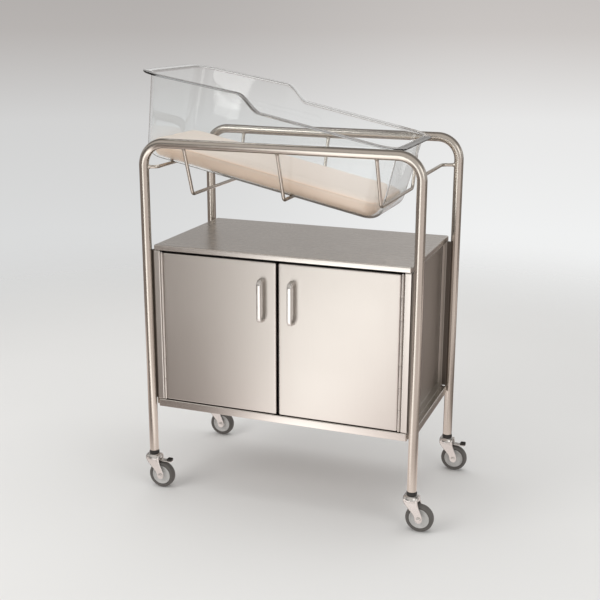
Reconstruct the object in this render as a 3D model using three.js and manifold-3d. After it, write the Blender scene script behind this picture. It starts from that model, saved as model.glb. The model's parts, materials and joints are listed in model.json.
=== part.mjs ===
// A hospital bassinet: a clear tub with its pad in a wire cradle, carried by two bent-tube frames
// on four swivel casters, with a two-door steel cabinet between the legs.
// Millimetres, +Z up. The head of the tub is at -X, the doors face -Y.
import * as THREE from 'three';
import { mergeVertices } from 'three/addons/utils/BufferGeometryUtils.js';
import Module from 'manifold-3d';

const wasm = await Module();
wasm.setup();

// Gap between neighbouring pieces, and the clearance of a pin in its hole
const seatGap = 0.3;
const pinGap = 0.3;

// Tub, measured along its own floor
const tubFloorLength = 670;
const tubWidth = 374;
const tubHeadDepth = 235;
const tubFootDepth = 200;
const tubRimFall = 10;
const tubWall = 4;
const tubFlange = 20;
const tubFlangeThickness = 4;
const tubSideDraft = THREE.MathUtils.degToRad(7.2);
const tubEndDraft = THREE.MathUtils.degToRad(3);
const tubCorner = 45;
const tubFloorFillet = 28;
const tubStepStart = -170;
const tubStepLength = 70;

// Pad on the tub's floor
const padThickness = 48;
const padCrown = 5;
const padSideGap = 3;
const padDrawIn = 3;
const padEdgeRound = 10;

// Bent-tube frames
const legSpacingX = 745;
const tubeDiameter = 25.4;
const tubeWall = 1.5;
const frameBend = 60;
const railClearance = 2.8;
const cradleHeight = 283.7;

// Wire cradle
const wireDiameter = 9;
const hangerSpacing = 258;
const hangerDrop = 149.7;
const hangerClearance = 10;
const hangerBend = 14;
const headWireDrop = 76.7;
const headWireInset = 32.5;
const footWireDrop = 86.7;
const footWireInset = 43.5;
const endWireSlant = 14.5;
const endWireBend = 18;
const hookY = 3;
const hookDrop = 20;
const hookBend = 7;

// Cabinet
const cabinetGround = 241.5;
const cabinetHeight = 457;
const cabinetLegGap = 6.3;
const cabinetSetback = 1.5;
const sheet = 1.5;
const topLip = 14;
const floorLip = 21;
const sideRecess = 16;
const backReturn = 12;
const floorOverhang = 14.5;
const floorLegGap = 5;
const stripDepth = 12;
const stripSetback = 5;
const stripOverlap = 6;

// Shelf and its rails
const shelfHeight = 205;
const shelfLip = 15;
const shelfSetback = 28;
const railLeg = 15;

// Doors
const doorThickness = 18;
const doorTopGap = 6;
const doorBottomGap = 3;
const doorMiddleGap = 7;

// Continuous hinges
const knuckleDiameter = 8;
const knuckleProud = 2;
const knuckleCount = 7;
const knuckleEndGap = 0.5;
const hingePinDiameter = 3;
const hingeLeaf = 1.2;
const hingeLeafWidth = 17;
const hingeHeadHeight = 1.5;

// Bow handles
const handleHeight = 115;
const handleProjection = 26;
const handleBar = 8;
const handleWidth = 12;
const handleBend = 15;
const handleEdge = 2.5;
const handleFromSplit = 38.5;
const handleBelowTop = 44;

// Magnetic catches and their strike plates
const catchWidth = 40;
const catchDepth = 12;
const catchFromSplit = 30;
const strikeHeight = 14;
const strikeThickness = 1.5;
const strikeBelowTop = 3;

// Casters
const wheelDiameter = 75;
const tyreWidth = 22;
const tyreDepth = 10;
const tyreShoulder = 4;
const hubWeb = 12;
const hubRim = 4;
const hubBossDiameter = 18;
const casterTrail = 23;
const axleDiameter = 8;
const axleHeadDiameter = 14;
const axleHead = 4;
const forkSheet = 2.5;
const forkSideGap = 2.5;
const forkClearance = 24;
const crownDiameter = 42;
const crownFlat = 20;
const crownDrop = 15;
const forkShoulder = 19;
const forkBossDiameter = 20;
const kingPinDiameter = 10;
const rivetDiameter = 16;
const rivetHeight = 3;
const collarDiameter = 28;
const collarHeight = 9;
const plugLength = 35;

// Wheel brakes
const brakePinDiameter = 5;
const brakePinX = 12;
const brakeLift = 4;
const brakeEyeDiameter = 9;
const brakeArmThickness = 2.5;
const brakeArmWidth = 17;
const brakeReach = 55;
const brakePadLength = 15;
const brakePadHeight = 6.5;
const brakePadEdge = 1.5;
const brakePinProud = 1;

// Facets: half the sides of a round section, steps of a bend, segments of a turned piece
const tubeFacets = 8;
const wireFacets = 5;
const frameBendSteps = 6;
const wireBendSteps = 4;
const turnedSegments = 20;
const wheelSegments = 24;
const smallSegments = 12;
const cornerSteps = 5;
const tubStepStations = 6;
const filletSteps = 4;
const domeSteps = 3;

// Derived levels and half sizes
const tubeRadius = tubeDiameter / 2;
const wireRadius = wireDiameter / 2;
const wheelRadius = wheelDiameter / 2;
const legX = legSpacingX / 2;
const legY = tubWidth / 2 + railClearance + tubeRadius;
const forkTop = wheelDiameter + forkClearance;
const legEnd = forkTop + collarHeight + 2 * seatGap;
const cabinetTopZ = cabinetGround + cabinetHeight;
const railTop = cabinetTopZ + cradleHeight;
const railZ = railTop - tubeRadius;
const barZ = railTop - hangerDrop;
const headWireZ = railTop - headWireDrop;
const headWireX = legX - headWireInset;
const footWireZ = railTop - footWireDrop;
const footWireX = legX - footWireInset;
const tubTilt = Math.atan2(headWireZ - barZ, headWireX);
const cabinetX = legX - tubeRadius - cabinetLegGap;
const cabinetY = legY - cabinetSetback;
const floorZ = cabinetGround + floorLip;
const lipZ = cabinetTopZ - topLip;
const panZ0 = floorZ + seatGap;
const panZ1 = lipZ - seatGap;
const panInnerX = cabinetX - sideRecess - sheet;
const doorZ0 = floorZ + doorBottomGap;
const doorZ1 = lipZ - doorTopGap;
const knuckleRadius = knuckleDiameter / 2;
const hingeX = panInnerX - seatGap - knuckleRadius;
const hingeY = -cabinetY - knuckleProud + knuckleRadius;
const doorOuterX = hingeX - knuckleRadius - seatGap;
const doorInnerX = doorMiddleGap / 2;
const doorBackY = -cabinetY + doorThickness;
const forkInnerY = tyreWidth / 2 + forkSideGap;
const forkOuterY = forkInnerY + forkSheet;

const satinSteel = () => new THREE.MeshStandardMaterial({ color: 0xb9b0a6, roughness: 0.32, metalness: 1 });
const tubeSteel = () => new THREE.MeshStandardMaterial({ color: 0xc2b8ac, roughness: 0.22, metalness: 1 });
const chrome = () => new THREE.MeshStandardMaterial({ color: 0xd4d2ce, roughness: 0.15, metalness: 1 });
const blackPlastic = () => new THREE.MeshStandardMaterial({ color: 0x24211e, roughness: 0.55, metalness: 0 });
const tyreRubber = () => new THREE.MeshStandardMaterial({ color: 0x4c4845, roughness: 0.8, metalness: 0 });
const hubPlastic = () => new THREE.MeshStandardMaterial({ color: 0xa8a6a2, roughness: 0.45, metalness: 0 });
const clearAcrylic = () => new THREE.MeshStandardMaterial({
  color: 0xf2f6f6, roughness: 0.05, metalness: 0, transparent: true, opacity: 0.3,
});
const padCover = () => new THREE.MeshStandardMaterial({ color: 0xe6c8b0, roughness: 0.7, metalness: 0 });

const at = (x, y, z) => new THREE.Vector3(x, y, z);
const heading = (from, to) => to.clone().sub(from).normalize();

const bassinet = new THREE.Group();

function place(name, geometry, material, parent = bassinet) {
  const mesh = new THREE.Mesh(geometry, material);
  mesh.name = name;
  parent.add(mesh);
  return mesh;
}

// Joins and cuts: closed geometry to a solid and back
function solid(geometry) {
  const bare = new THREE.BufferGeometry();
  bare.setAttribute('position', geometry.getAttribute('position').clone());
  if (geometry.index) bare.setIndex(geometry.index.clone());
  const merged = mergeVertices(bare, 1e-4);
  const index = merged.index.array;
  const triangles = [];
  for (let i = 0; i < index.length; i += 3) {
    const [a, b, c] = [index[i], index[i + 1], index[i + 2]];
    if (a !== b && b !== c && c !== a) triangles.push(a, b, c);
  }
  return new wasm.Manifold(new wasm.Mesh({
    numProp: 3,
    vertProperties: Float32Array.from(merged.getAttribute('position').array),
    triVerts: Uint32Array.from(triangles),
  }));
}

function surface(body) {
  const mesh = body.getMesh();
  const geometry = new THREE.BufferGeometry();
  geometry.setAttribute('position', new THREE.BufferAttribute(mesh.vertProperties, mesh.numProp));
  geometry.setIndex(new THREE.BufferAttribute(mesh.triVerts, 1));
  geometry.computeVertexNormals();
  return geometry;
}

// A block between two values on each axis, in either order
function block([xa, xb], [ya, yb], [za, zb]) {
  const geometry = new THREE.BoxGeometry(Math.abs(xb - xa), Math.abs(yb - ya), Math.abs(zb - za));
  geometry.translate((xa + xb) / 2, (ya + yb) / 2, (za + zb) / 2);
  return solid(geometry);
}

// A profile of [radius, height] points turned about Z
function turned(profile, segments, startAngle = 0) {
  const points = profile.map(([r, z]) => new THREE.Vector2(r, z));
  const geometry = new THREE.LatheGeometry(points, segments, startAngle);
  geometry.rotateX(Math.PI / 2);
  return geometry;
}

// The same about Y, through the axle of a wheel
function turnedAboutY(profile, segments, startAngle = 0) {
  const geometry = turned(profile, segments, startAngle);
  geometry.rotateX(-Math.PI / 2);
  return geometry;
}

function cylinderZ(radius, z0, z1, x = 0, y = 0, segments = smallSegments) {
  const geometry = turned([[0, z0], [radius, z0], [radius, z1], [0, z1]], segments);
  geometry.translate(x, y, 0);
  return solid(geometry);
}

function cylinderY(radius, y0, y1, x, z, segments = smallSegments) {
  const geometry = turnedAboutY([[0, y0], [radius, y0], [radius, y1], [0, y1]], segments);
  geometry.translate(x, 0, z);
  return solid(geometry);
}

// An outline in the XZ plane given a thickness along Y
function plateXZ(shape, y0, y1, curveSegments = 8) {
  const geometry = new THREE.ExtrudeGeometry(shape, {
    depth: y1 - y0, steps: 1, bevelEnabled: false, curveSegments,
  });
  geometry.applyMatrix4(new THREE.Matrix4().makeBasis(at(1, 0, 0), at(0, 0, 1), at(0, -1, 0)));
  geometry.translate(0, y1, 0);
  return solid(geometry);
}

// A rod's centreline: straight runs with their corners rounded by arcs, the last radius for the rest
class RodPath extends THREE.Curve {
  constructor(corners, bendRadii, bendSteps) {
    super();
    this.stations = [];
    const last = corners.length - 1;
    this.stations.push({ point: corners[0], tangent: heading(corners[0], corners[1]) });
    for (let i = 1; i < last; i += 1) {
      const radius = bendRadii[Math.min(i, bendRadii.length) - 1];
      this.addBend(corners[i - 1], corners[i], corners[i + 1], radius, bendSteps);
    }
    this.stations.push({ point: corners[last], tangent: heading(corners[last - 1], corners[last]) });
  }

  addBend(before, corner, after, radius, steps) {
    const into = heading(before, corner);
    const out = heading(corner, after);
    const turn = into.angleTo(out);
    const start = corner.clone().addScaledVector(into, -radius * Math.tan(turn / 2));
    const inward = out.clone().addScaledVector(into, -Math.cos(turn)).normalize();
    const centre = start.clone().addScaledVector(inward, radius);
    for (let k = 0; k <= steps; k += 1) {
      const angle = (turn * k) / steps;
      const tangent = into.clone().multiplyScalar(Math.cos(angle)).addScaledVector(inward, Math.sin(angle));
      const point = centre.clone().addScaledVector(inward, -radius * Math.cos(angle));
      point.addScaledVector(into, radius * Math.sin(angle));
      this.stations.push({ point, tangent });
    }
  }

  station(u) {
    return this.stations[Math.round(u * (this.stations.length - 1))];
  }

  getPointAt(u) {
    return this.station(u).point.clone();
  }

  getTangentAt(u) {
    return this.station(u).tangent.clone();
  }
}

function rod(path, radius, facets, bore = 0) {
  const section = new THREE.Shape();
  section.absarc(0, 0, radius, 0, 2 * Math.PI);
  if (bore > 0) {
    const hole = new THREE.Path();
    hole.absarc(0, 0, bore, 0, 2 * Math.PI);
    section.holes.push(hole);
  }
  return new THREE.ExtrudeGeometry(section, {
    steps: path.stations.length - 1, curveSegments: facets, bevelEnabled: false, extrudePath: path,
  });
}

// Frames: an inverted U of tube at the front and another at the back
function framePath(y) {
  const corners = [at(-legX, y, legEnd), at(-legX, y, railZ), at(legX, y, railZ), at(legX, y, legEnd)];
  return new RodPath(corners, [frameBend], frameBendSteps);
}

const frameCut = solid(rod(framePath(-legY), tubeRadius + seatGap, tubeFacets))
  .add(solid(rod(framePath(legY), tubeRadius + seatGap, tubeFacets)));

function buildFrames() {
  const bore = tubeRadius - tubeWall;
  place('front_frame_tube', rod(framePath(-legY), tubeRadius, tubeFacets, bore), tubeSteel());
  place('rear_frame_tube', rod(framePath(legY), tubeRadius, tubeFacets, bore), tubeSteel());
}

// Cradle: three hangers across the rails, a wire across the head legs and a hooked wire at the foot
function cradleWire(name, corners, bendRadii) {
  const wire = solid(rod(new RodPath(corners, bendRadii, wireBendSteps), wireRadius, wireFacets));
  place(name, surface(wire.subtract(frameCut)), tubeSteel());
}

function buildCradle() {
  const barY = tubFloorHalfWidth + hangerClearance + wireRadius;
  const hangers = [['head', -hangerSpacing], ['middle', 0], ['foot', hangerSpacing]];
  for (const [end, x] of hangers) {
    const corners = [at(x, -legY, railZ), at(x, -barY, barZ), at(x, barY, barZ), at(x, legY, railZ)];
    cradleWire(`${end}_cradle_hanger`, corners, [hangerBend]);
  }
  const stepY = legY - endWireSlant;
  cradleWire('head_end_wire', [
    at(-legX, -legY, headWireZ), at(-headWireX, -stepY, headWireZ),
    at(-headWireX, stepY, headWireZ), at(-legX, legY, headWireZ),
  ], [endWireBend]);
  cradleWire('foot_end_wire', [
    at(legX, legY, footWireZ), at(footWireX, stepY, footWireZ),
    at(footWireX, hookY, footWireZ), at(footWireX, hookY, footWireZ - hookDrop),
  ], [endWireBend, hookBend]);
}

// Tub: floor, drafted walls and an outward flange whose rim steps down towards the foot
const tubFloorHalfWidth = tubWidth / 2 - tubFlange - tubHeadDepth * Math.tan(tubSideDraft);
const barAlong = hangerSpacing * Math.cos(tubTilt);
const barAbove = hangerSpacing * Math.sin(tubTilt) - wireRadius - seatGap;
const tubFoot = barAlong - barAbove * Math.tan(tubEndDraft) - (wireRadius + seatGap) / Math.cos(tubEndDraft);
const tubHead = tubFoot - tubFloorLength;

function rimHeight(u) {
  const t = THREE.MathUtils.clamp((u - tubStepStart) / tubStepLength, 0, 1);
  const towardsHead = Math.max(0, (tubStepStart - u) / (tubStepStart - tubHead));
  const step = THREE.MathUtils.lerp(tubHeadDepth, tubFootDepth, t * t * (3 - 2 * t));
  return step - tubRimFall * towardsHead;
}

// A rounded rectangle walked once round, anticlockwise, with stations along the stepped sides
function outline(head, foot, halfWidth, corner) {
  const points = [];
  const arc = (cu, cv, from) => {
    for (let k = 0; k <= cornerSteps; k += 1) {
      const angle = from + (Math.PI / 2) * (k / cornerSteps);
      points.push([cu + corner * Math.cos(angle), cv + corner * Math.sin(angle)]);
    }
  };
  const side = (v, reversed) => {
    for (let k = 0; k <= tubStepStations; k += 1) {
      const t = reversed ? 1 - k / tubStepStations : k / tubStepStations;
      points.push([tubStepStart + t * tubStepLength, v]);
    }
  };
  arc(foot - corner, halfWidth - corner, 0);
  side(halfWidth, true);
  arc(head + corner, halfWidth - corner, Math.PI / 2);
  arc(head + corner, -halfWidth + corner, Math.PI);
  side(-halfWidth, false);
  arc(foot - corner, -halfWidth + corner, 1.5 * Math.PI);
  return points;
}

// Rings of points, from the middle of the underside out, up and back to the middle, as one closed skin
function ringSkin(rings, bottomCentre, topCentre) {
  const count = rings[0].length;
  const positions = [...bottomCentre];
  rings.forEach((ring) => ring.forEach((point) => positions.push(...point)));
  positions.push(...topCentre);
  const top = positions.length / 3 - 1;
  const index = [];
  for (let i = 0; i < count; i += 1) {
    const j = (i + 1) % count;
    index.push(0, 1 + j, 1 + i);
    for (let r = 0; r + 1 < rings.length; r += 1) {
      const low = 1 + r * count;
      const high = low + count;
      index.push(low + i, low + j, high + j, low + i, high + j, high + i);
    }
    const lastRing = 1 + (rings.length - 1) * count;
    index.push(lastRing + i, lastRing + j, top);
  }
  const geometry = new THREE.BufferGeometry();
  geometry.setAttribute('position', new THREE.Float32BufferAttribute(positions, 3));
  geometry.setIndex(index);
  geometry.computeVertexNormals();
  return geometry;
}

// The tub wall's outline at a height above the floor, drawn in by an offset
function wallOutline(height, inset) {
  const alongEnd = height * Math.tan(tubEndDraft) - inset;
  const alongSide = height * Math.tan(tubSideDraft) - inset;
  return outline(tubHead - alongEnd, tubFoot + alongEnd, tubFloorHalfWidth + alongSide, tubCorner - inset);
}

function tubGeometry() {
  const rims = wallOutline(tubFootDepth, 0).map(([u]) => rimHeight(u));
  const flangeRing = outline(
    tubHead - tubHeadDepth * Math.tan(tubEndDraft) - tubFlange,
    tubFoot + tubFootDepth * Math.tan(tubEndDraft) + tubFlange,
    tubWidth / 2,
    tubCorner + tubFlange,
  );
  const innerFillet = tubFloorFillet - tubWall;
  const rings = [];
  const fillet = (radius, floor, inset) => {
    const ringsOut = [];
    for (let k = 0; k <= filletSteps; k += 1) {
      const angle = (Math.PI / 2) * (k / filletSteps);
      const height = floor + radius * (1 - Math.cos(angle));
      const drawIn = inset + radius * (1 - Math.sin(angle));
      ringsOut.push(wallOutline(height, drawIn).map(([u, v]) => [u, v, height]));
    }
    return ringsOut;
  };
  // A ring just under or on the rim, where each station has its own height
  const rimRing = (drop, inset) => rims.map((rim, i) => {
    const [u, v] = wallOutline(rim - drop, inset)[i];
    return [u, v, rim - drop];
  });
  rings.push(...fillet(tubFloorFillet, 0, 0));
  rings.push(rimRing(tubFlangeThickness, 0));
  rings.push(flangeRing.map(([u, v], i) => [u, v, rims[i] - tubFlangeThickness]));
  rings.push(flangeRing.map(([u, v], i) => [u, v, rims[i]]));
  rings.push(rimRing(0, tubWall));
  rings.push(...fillet(innerFillet, tubWall, tubWall).reverse());
  const middle = (tubHead + tubFoot) / 2;
  return ringSkin(rings, [middle, 0, 0], [middle, 0, tubWall]);
}

// Pad: a cushion with a crowned top, rounded edges and sides drawn in between the corners
function padGeometry() {
  const padFloor = tubWall + seatGap;
  const clear = tubWall + padSideGap;
  const middle = (tubHead + tubFoot) / 2;
  const halfLength = (tubFoot - tubHead) / 2;
  const ring = (height, drawIn, rise) => wallOutline(height, clear + drawIn).map(([u, v]) => {
    const along = (u - middle) / halfLength;
    const across = v / tubFloorHalfWidth;
    const pull = padDrawIn * Math.max(0, 1 - along * along);
    const pulledV = v - Math.sign(v) * pull * Math.abs(across);
    const crown = rise * (1 - along * along) * (1 - across * across);
    return [u, pulledV, height + crown];
  });
  const top = padFloor + padThickness;
  const lowRound = tubFloorFillet - tubWall;
  const rings = [];
  for (let k = 0; k <= filletSteps; k += 1) {
    const angle = (Math.PI / 2) * (k / filletSteps);
    rings.push(ring(padFloor + lowRound * (1 - Math.cos(angle)), lowRound * (1 - Math.sin(angle)), 0));
  }
  for (let k = 0; k <= filletSteps; k += 1) {
    const angle = (Math.PI / 2) * (k / filletSteps);
    rings.push(ring(top - padEdgeRound * (1 - Math.sin(angle)), padEdgeRound * (1 - Math.cos(angle)), 0));
  }
  const crownInsets = [0.3, 0.55, 0.8];
  crownInsets.forEach((share) => {
    const drawIn = padEdgeRound + share * (tubCorner - clear - padEdgeRound);
    rings.push(ring(top, drawIn, padCrown));
  });
  return ringSkin(rings, [middle, 0, padFloor], [middle, 0, top + padCrown]);
}

function buildTub() {
  const cradle = new THREE.Group();
  const seat = wireRadius + seatGap;
  cradle.position.set(seat * Math.sin(tubTilt), 0, barZ + seat * Math.cos(tubTilt));
  cradle.rotation.y = tubTilt;
  bassinet.add(cradle);
  place('tub', tubGeometry(), clearAcrylic(), cradle);
  place('mattress_pad', padGeometry(), padCover(), cradle);
}

// Cabinet: folded trays top and bottom, recessed side pans joined to the legs, back and shelf
function tray(x, y, z0, z1) {
  const hollow = block([-x + sheet, x - sheet], [-y + sheet, y - sheet], [z0 - sheet, z1 - sheet]);
  return block([-x, x], [-y, y], [z0, z1]).subtract(hollow);
}

// The floor reaches further out between the legs than the top does
function floorTray() {
  const reach = cabinetX + floorOverhang;
  const between = legY - tubeRadius - floorLegGap;
  const main = block([-cabinetX, cabinetX], [-cabinetY, cabinetY], [cabinetGround, floorZ]);
  const wide = block([-reach, reach], [-between, between], [cabinetGround, floorZ]);
  const under = [cabinetGround - sheet, floorZ - sheet];
  const mainX = cabinetX - sheet;
  const mainHollow = block([-mainX, mainX], [-cabinetY + sheet, cabinetY - sheet], under);
  const wideHollow = block([-reach + sheet, reach - sheet], [-between + sheet, between - sheet], under);
  return main.add(wide).subtract(mainHollow).subtract(wideHollow);
}

function sidePan(side) {
  const faceX = cabinetX - sideRecess;
  let pan = block([side * panInnerX, side * cabinetX], [-cabinetY, cabinetY], [panZ0, panZ1]);
  const recess = block(
    [side * faceX, side * (cabinetX + sheet)],
    [-cabinetY + sheet, cabinetY - sheet],
    [panZ0 + sheet, panZ1 - sheet],
  );
  pan = pan.subtract(recess);
  // Full-height strips inside the pan's front and rear lips, with a web to the leg
  for (const end of [-1, 1]) {
    const height = [panZ0, panZ1];
    const outerY = end * (cabinetY - stripSetback);
    const innerY = outerY - end * stripDepth;
    const innerX = side * (cabinetX - stripOverlap);
    const strip = block([innerX, side * cabinetX], [innerY, end * (cabinetY - sheet / 2)], height);
    const web = block([innerX, side * (legX - tubeRadius / 2)], [innerY, outerY], height);
    pan = pan.add(strip).add(web);
  }
  return pan.subtract(frameCut);
}

function buildCabinet() {
  place('cabinet_top', surface(tray(cabinetX, cabinetY, lipZ, cabinetTopZ)), satinSteel());
  place('cabinet_floor', surface(floorTray()), satinSteel());
  place('left_side_panel', surface(sidePan(-1)), satinSteel());
  place('right_side_panel', surface(sidePan(1)), satinSteel());
  const backX = panInnerX - seatGap;
  const backFront = cabinetY - backReturn;
  const back = block([-backX, backX], [backFront, cabinetY], [panZ0, panZ1]);
  const backHollow = block(
    [-backX + sheet, backX - sheet],
    [backFront - sheet, cabinetY - sheet],
    [panZ0 + sheet, panZ1 - sheet],
  );
  place('cabinet_back', surface(back.subtract(backHollow)), satinSteel());
  const shelfZ = floorZ + shelfHeight;
  const shelfX = panInnerX - seatGap;
  const shelfY = [doorBackY + shelfSetback, backFront - seatGap];
  const shelfEdge = block([-shelfX, shelfX], [shelfY[0], shelfY[0] + sheet], [shelfZ - shelfLip, shelfZ]);
  const shelf = block([-shelfX, shelfX], shelfY, [shelfZ - sheet, shelfZ]).add(shelfEdge);
  place('cabinet_shelf', surface(shelf), satinSteel());
  for (const [name, side] of [['left_shelf_rail', -1], ['right_shelf_rail', 1]]) {
    const railTopZ = shelfZ - sheet - seatGap;
    const railY = [shelfY[0] + sheet + seatGap, shelfY[1]];
    const outer = side * shelfX;
    const upright = block([outer, outer - side * sheet], railY, [railTopZ - railLeg, railTopZ]);
    const ledge = block([outer, outer - side * railLeg], railY, [railTopZ - sheet, railTopZ]);
    place(name, surface(upright.add(ledge)), satinSteel());
  }
}

// Doors: a folded skin closed by a liner, a bow handle, a strike plate and a continuous hinge
function doorSkin(side) {
  const across = [side * doorInnerX, side * doorOuterX];
  const skin = block(across, [-cabinetY, doorBackY], [doorZ0, doorZ1]);
  const hollow = block(
    [side * (doorInnerX + sheet), side * (doorOuterX - sheet)],
    [-cabinetY + sheet, doorBackY + sheet],
    [doorZ0 + sheet, doorZ1 - sheet],
  );
  return skin.subtract(hollow);
}

function doorLiner(side) {
  const inset = sheet + seatGap;
  return block(
    [side * (doorInnerX + inset), side * (doorOuterX - inset)],
    [doorBackY - sheet, doorBackY],
    [doorZ0 + inset, doorZ1 - inset],
  );
}

function handleGeometry() {
  const half = handleHeight / 2;
  const innerBend = handleBend - handleBar;
  const reach = handleProjection;
  const outlineShape = new THREE.Shape();
  outlineShape.moveTo(0, -half);
  outlineShape.lineTo(reach - handleBend, -half);
  outlineShape.absarc(reach - handleBend, -half + handleBend, handleBend, -Math.PI / 2, 0);
  outlineShape.lineTo(reach, half - handleBend);
  outlineShape.absarc(reach - handleBend, half - handleBend, handleBend, 0, Math.PI / 2);
  outlineShape.lineTo(0, half);
  outlineShape.lineTo(0, half - handleBar);
  outlineShape.lineTo(reach - handleBend, half - handleBar);
  outlineShape.absarc(reach - handleBend, half - handleBend, innerBend, Math.PI / 2, 0, true);
  outlineShape.lineTo(reach - handleBar, -half + handleBend);
  outlineShape.absarc(reach - handleBend, -half + handleBend, innerBend, 0, -Math.PI / 2, true);
  outlineShape.lineTo(0, -half + handleBar);
  outlineShape.closePath();
  const geometry = new THREE.ExtrudeGeometry(outlineShape, {
    depth: handleWidth, steps: 1, bevelEnabled: false, curveSegments: 4,
  });
  geometry.translate(0, 0, -handleWidth / 2);
  geometry.applyMatrix4(new THREE.Matrix4().makeBasis(at(0, -1, 0), at(0, 0, 1), at(-1, 0, 0)));
  return geometry;
}

// One leaf of a continuous hinge: a strip with every second knuckle, cleared for the others
function hingeLeafSolid(stripX, firstKnuckle) {
  const pitch = (doorZ1 - doorZ0) / knuckleCount;
  let leaf = block(stripX, [hingeY, hingeY + hingeLeafWidth], [doorZ0, doorZ1]);
  for (let k = 0; k < knuckleCount; k += 1) {
    const z0 = doorZ0 + k * pitch;
    if (k % 2 !== firstKnuckle) {
      const clearance = cylinderZ(knuckleRadius + pinGap, z0 - knuckleEndGap, z0 + pitch + knuckleEndGap);
      leaf = leaf.subtract(clearance.translate([0, hingeY, 0]));
    }
  }
  for (let k = firstKnuckle; k < knuckleCount; k += 2) {
    const z0 = doorZ0 + k * pitch;
    leaf = leaf.add(cylinderZ(knuckleRadius, z0, z0 + pitch).translate([0, hingeY, 0]));
  }
  const bore = cylinderZ(hingePinDiameter / 2 + pinGap, doorZ0 - sheet, doorZ1 + sheet);
  return leaf.subtract(bore.translate([0, hingeY, 0]));
}

function buildDoor(prefix, side) {
  place(`${prefix}_door_skin`, surface(doorSkin(side)), satinSteel());
  place(`${prefix}_door_liner`, surface(doorLiner(side)), satinSteel());
  const handle = place(`${prefix}_door_handle`, handleGeometry(), chrome());
  const handleZ = doorZ1 - handleBelowTop - handleHeight / 2;
  handle.position.set(side * (doorInnerX + handleFromSplit), -cabinetY - seatGap, handleZ);
  const strikeTop = doorZ1 - sheet - seatGap - strikeBelowTop;
  const catchX = [side * catchFromSplit, side * (catchFromSplit + catchWidth)];
  const strikeY = [doorBackY + seatGap, doorBackY + seatGap + strikeThickness];
  const strike = block(catchX, strikeY, [strikeTop - strikeHeight, strikeTop]);
  place(`${prefix}_door_strike`, surface(strike), chrome());
  const catchY = [strikeY[1] + seatGap, strikeY[1] + seatGap + catchDepth];
  const catchBody = block(catchX, catchY, [strikeTop - strikeHeight, cabinetTopZ - sheet - seatGap]);
  place(`${prefix}_door_catch`, surface(catchBody), blackPlastic());
  const axis = new THREE.Group();
  axis.position.x = side * hingeX;
  bassinet.add(axis);
  const near = side * knuckleRadius;
  const far = side * (knuckleRadius - hingeLeaf);
  const fixedLeaf = hingeLeafSolid([near, far], 0);
  const movingLeaf = hingeLeafSolid([-near, -far], 1);
  place(`${prefix}_hinge_fixed_leaf`, surface(fixedLeaf), satinSteel(), axis);
  place(`${prefix}_hinge_door_leaf`, surface(movingLeaf), satinSteel(), axis);
  const pinRadius = hingePinDiameter / 2;
  const headZ = doorZ1 + seatGap;
  const pinProfile = [[0, doorZ0], [pinRadius, doorZ0], [pinRadius, headZ], [knuckleRadius - seatGap, headZ],
    [knuckleRadius - seatGap, headZ + hingeHeadHeight], [0, headZ + hingeHeadHeight]];
  const pin = turned(pinProfile, smallSegments);
  pin.translate(0, hingeY, 0);
  place(`${prefix}_hinge_pin`, pin, chrome(), axis);
}

// Casters: a plug in the leg with its collar and king pin, a pressed fork, axle, hub and tyre
function stemProfile() {
  const pinRadius = kingPinDiameter / 2;
  const crownUnder = forkTop - forkSheet - seatGap;
  const plugRadius = tubeRadius - tubeWall - seatGap;
  return [
    [0, crownUnder - rivetHeight], [rivetDiameter / 2, crownUnder - rivetHeight],
    [rivetDiameter / 2, crownUnder], [pinRadius, crownUnder],
    [pinRadius, forkTop + seatGap], [collarDiameter / 2, forkTop + seatGap],
    [collarDiameter / 2, legEnd - seatGap], [plugRadius, legEnd - seatGap],
    [plugRadius, legEnd + plugLength], [0, legEnd + plugLength],
  ];
}

function crownProfile() {
  const bore = kingPinDiameter / 2 + pinGap;
  const flat = crownFlat / 2;
  const radius = crownDiameter / 2;
  const dome = (rim, top, drop) => {
    const points = [];
    for (let k = 0; k <= domeSteps; k += 1) {
      const angle = (Math.PI / 2) * (k / domeSteps);
      points.push([flat + (rim - flat) * Math.sin(angle), top - drop * (1 - Math.cos(angle))]);
    }
    return points;
  };
  const outer = dome(radius, forkTop, crownDrop);
  const inner = dome(radius - forkSheet, forkTop - forkSheet, crownDrop - forkSheet);
  const loop = [[bore, forkTop - forkSheet], ...inner, ...outer.reverse(), [bore, forkTop]];
  return [...loop, loop[0]];
}

// The angle on the axle boss where a straight edge from a shoulder point touches it
function tangentAngle(point, centre, radius, side) {
  const away = point.clone().sub(centre);
  return away.angle() + side * Math.acos(radius / away.length());
}

function forkPlateShape() {
  const skirt = forkTop - crownDrop;
  const roof = forkTop - forkSheet / 2 - (crownDrop * (forkInnerY - crownFlat / 2)) / crownDiameter;
  const boss = new THREE.Vector2(casterTrail, wheelRadius);
  const bossRadius = forkBossDiameter / 2;
  const right = new THREE.Vector2(forkShoulder, skirt);
  const left = new THREE.Vector2(-forkShoulder, skirt);
  const from = tangentAngle(right, boss, bossRadius, -1);
  const to = tangentAngle(left, boss, bossRadius, 1);
  const shape = new THREE.Shape();
  shape.moveTo(-forkShoulder, skirt);
  shape.absarc(casterTrail, wheelRadius, bossRadius, to, from, false);
  shape.lineTo(forkShoulder, skirt);
  shape.lineTo(forkShoulder / 2, roof);
  shape.lineTo(-forkShoulder / 2, roof);
  shape.closePath();
  return shape;
}

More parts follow.
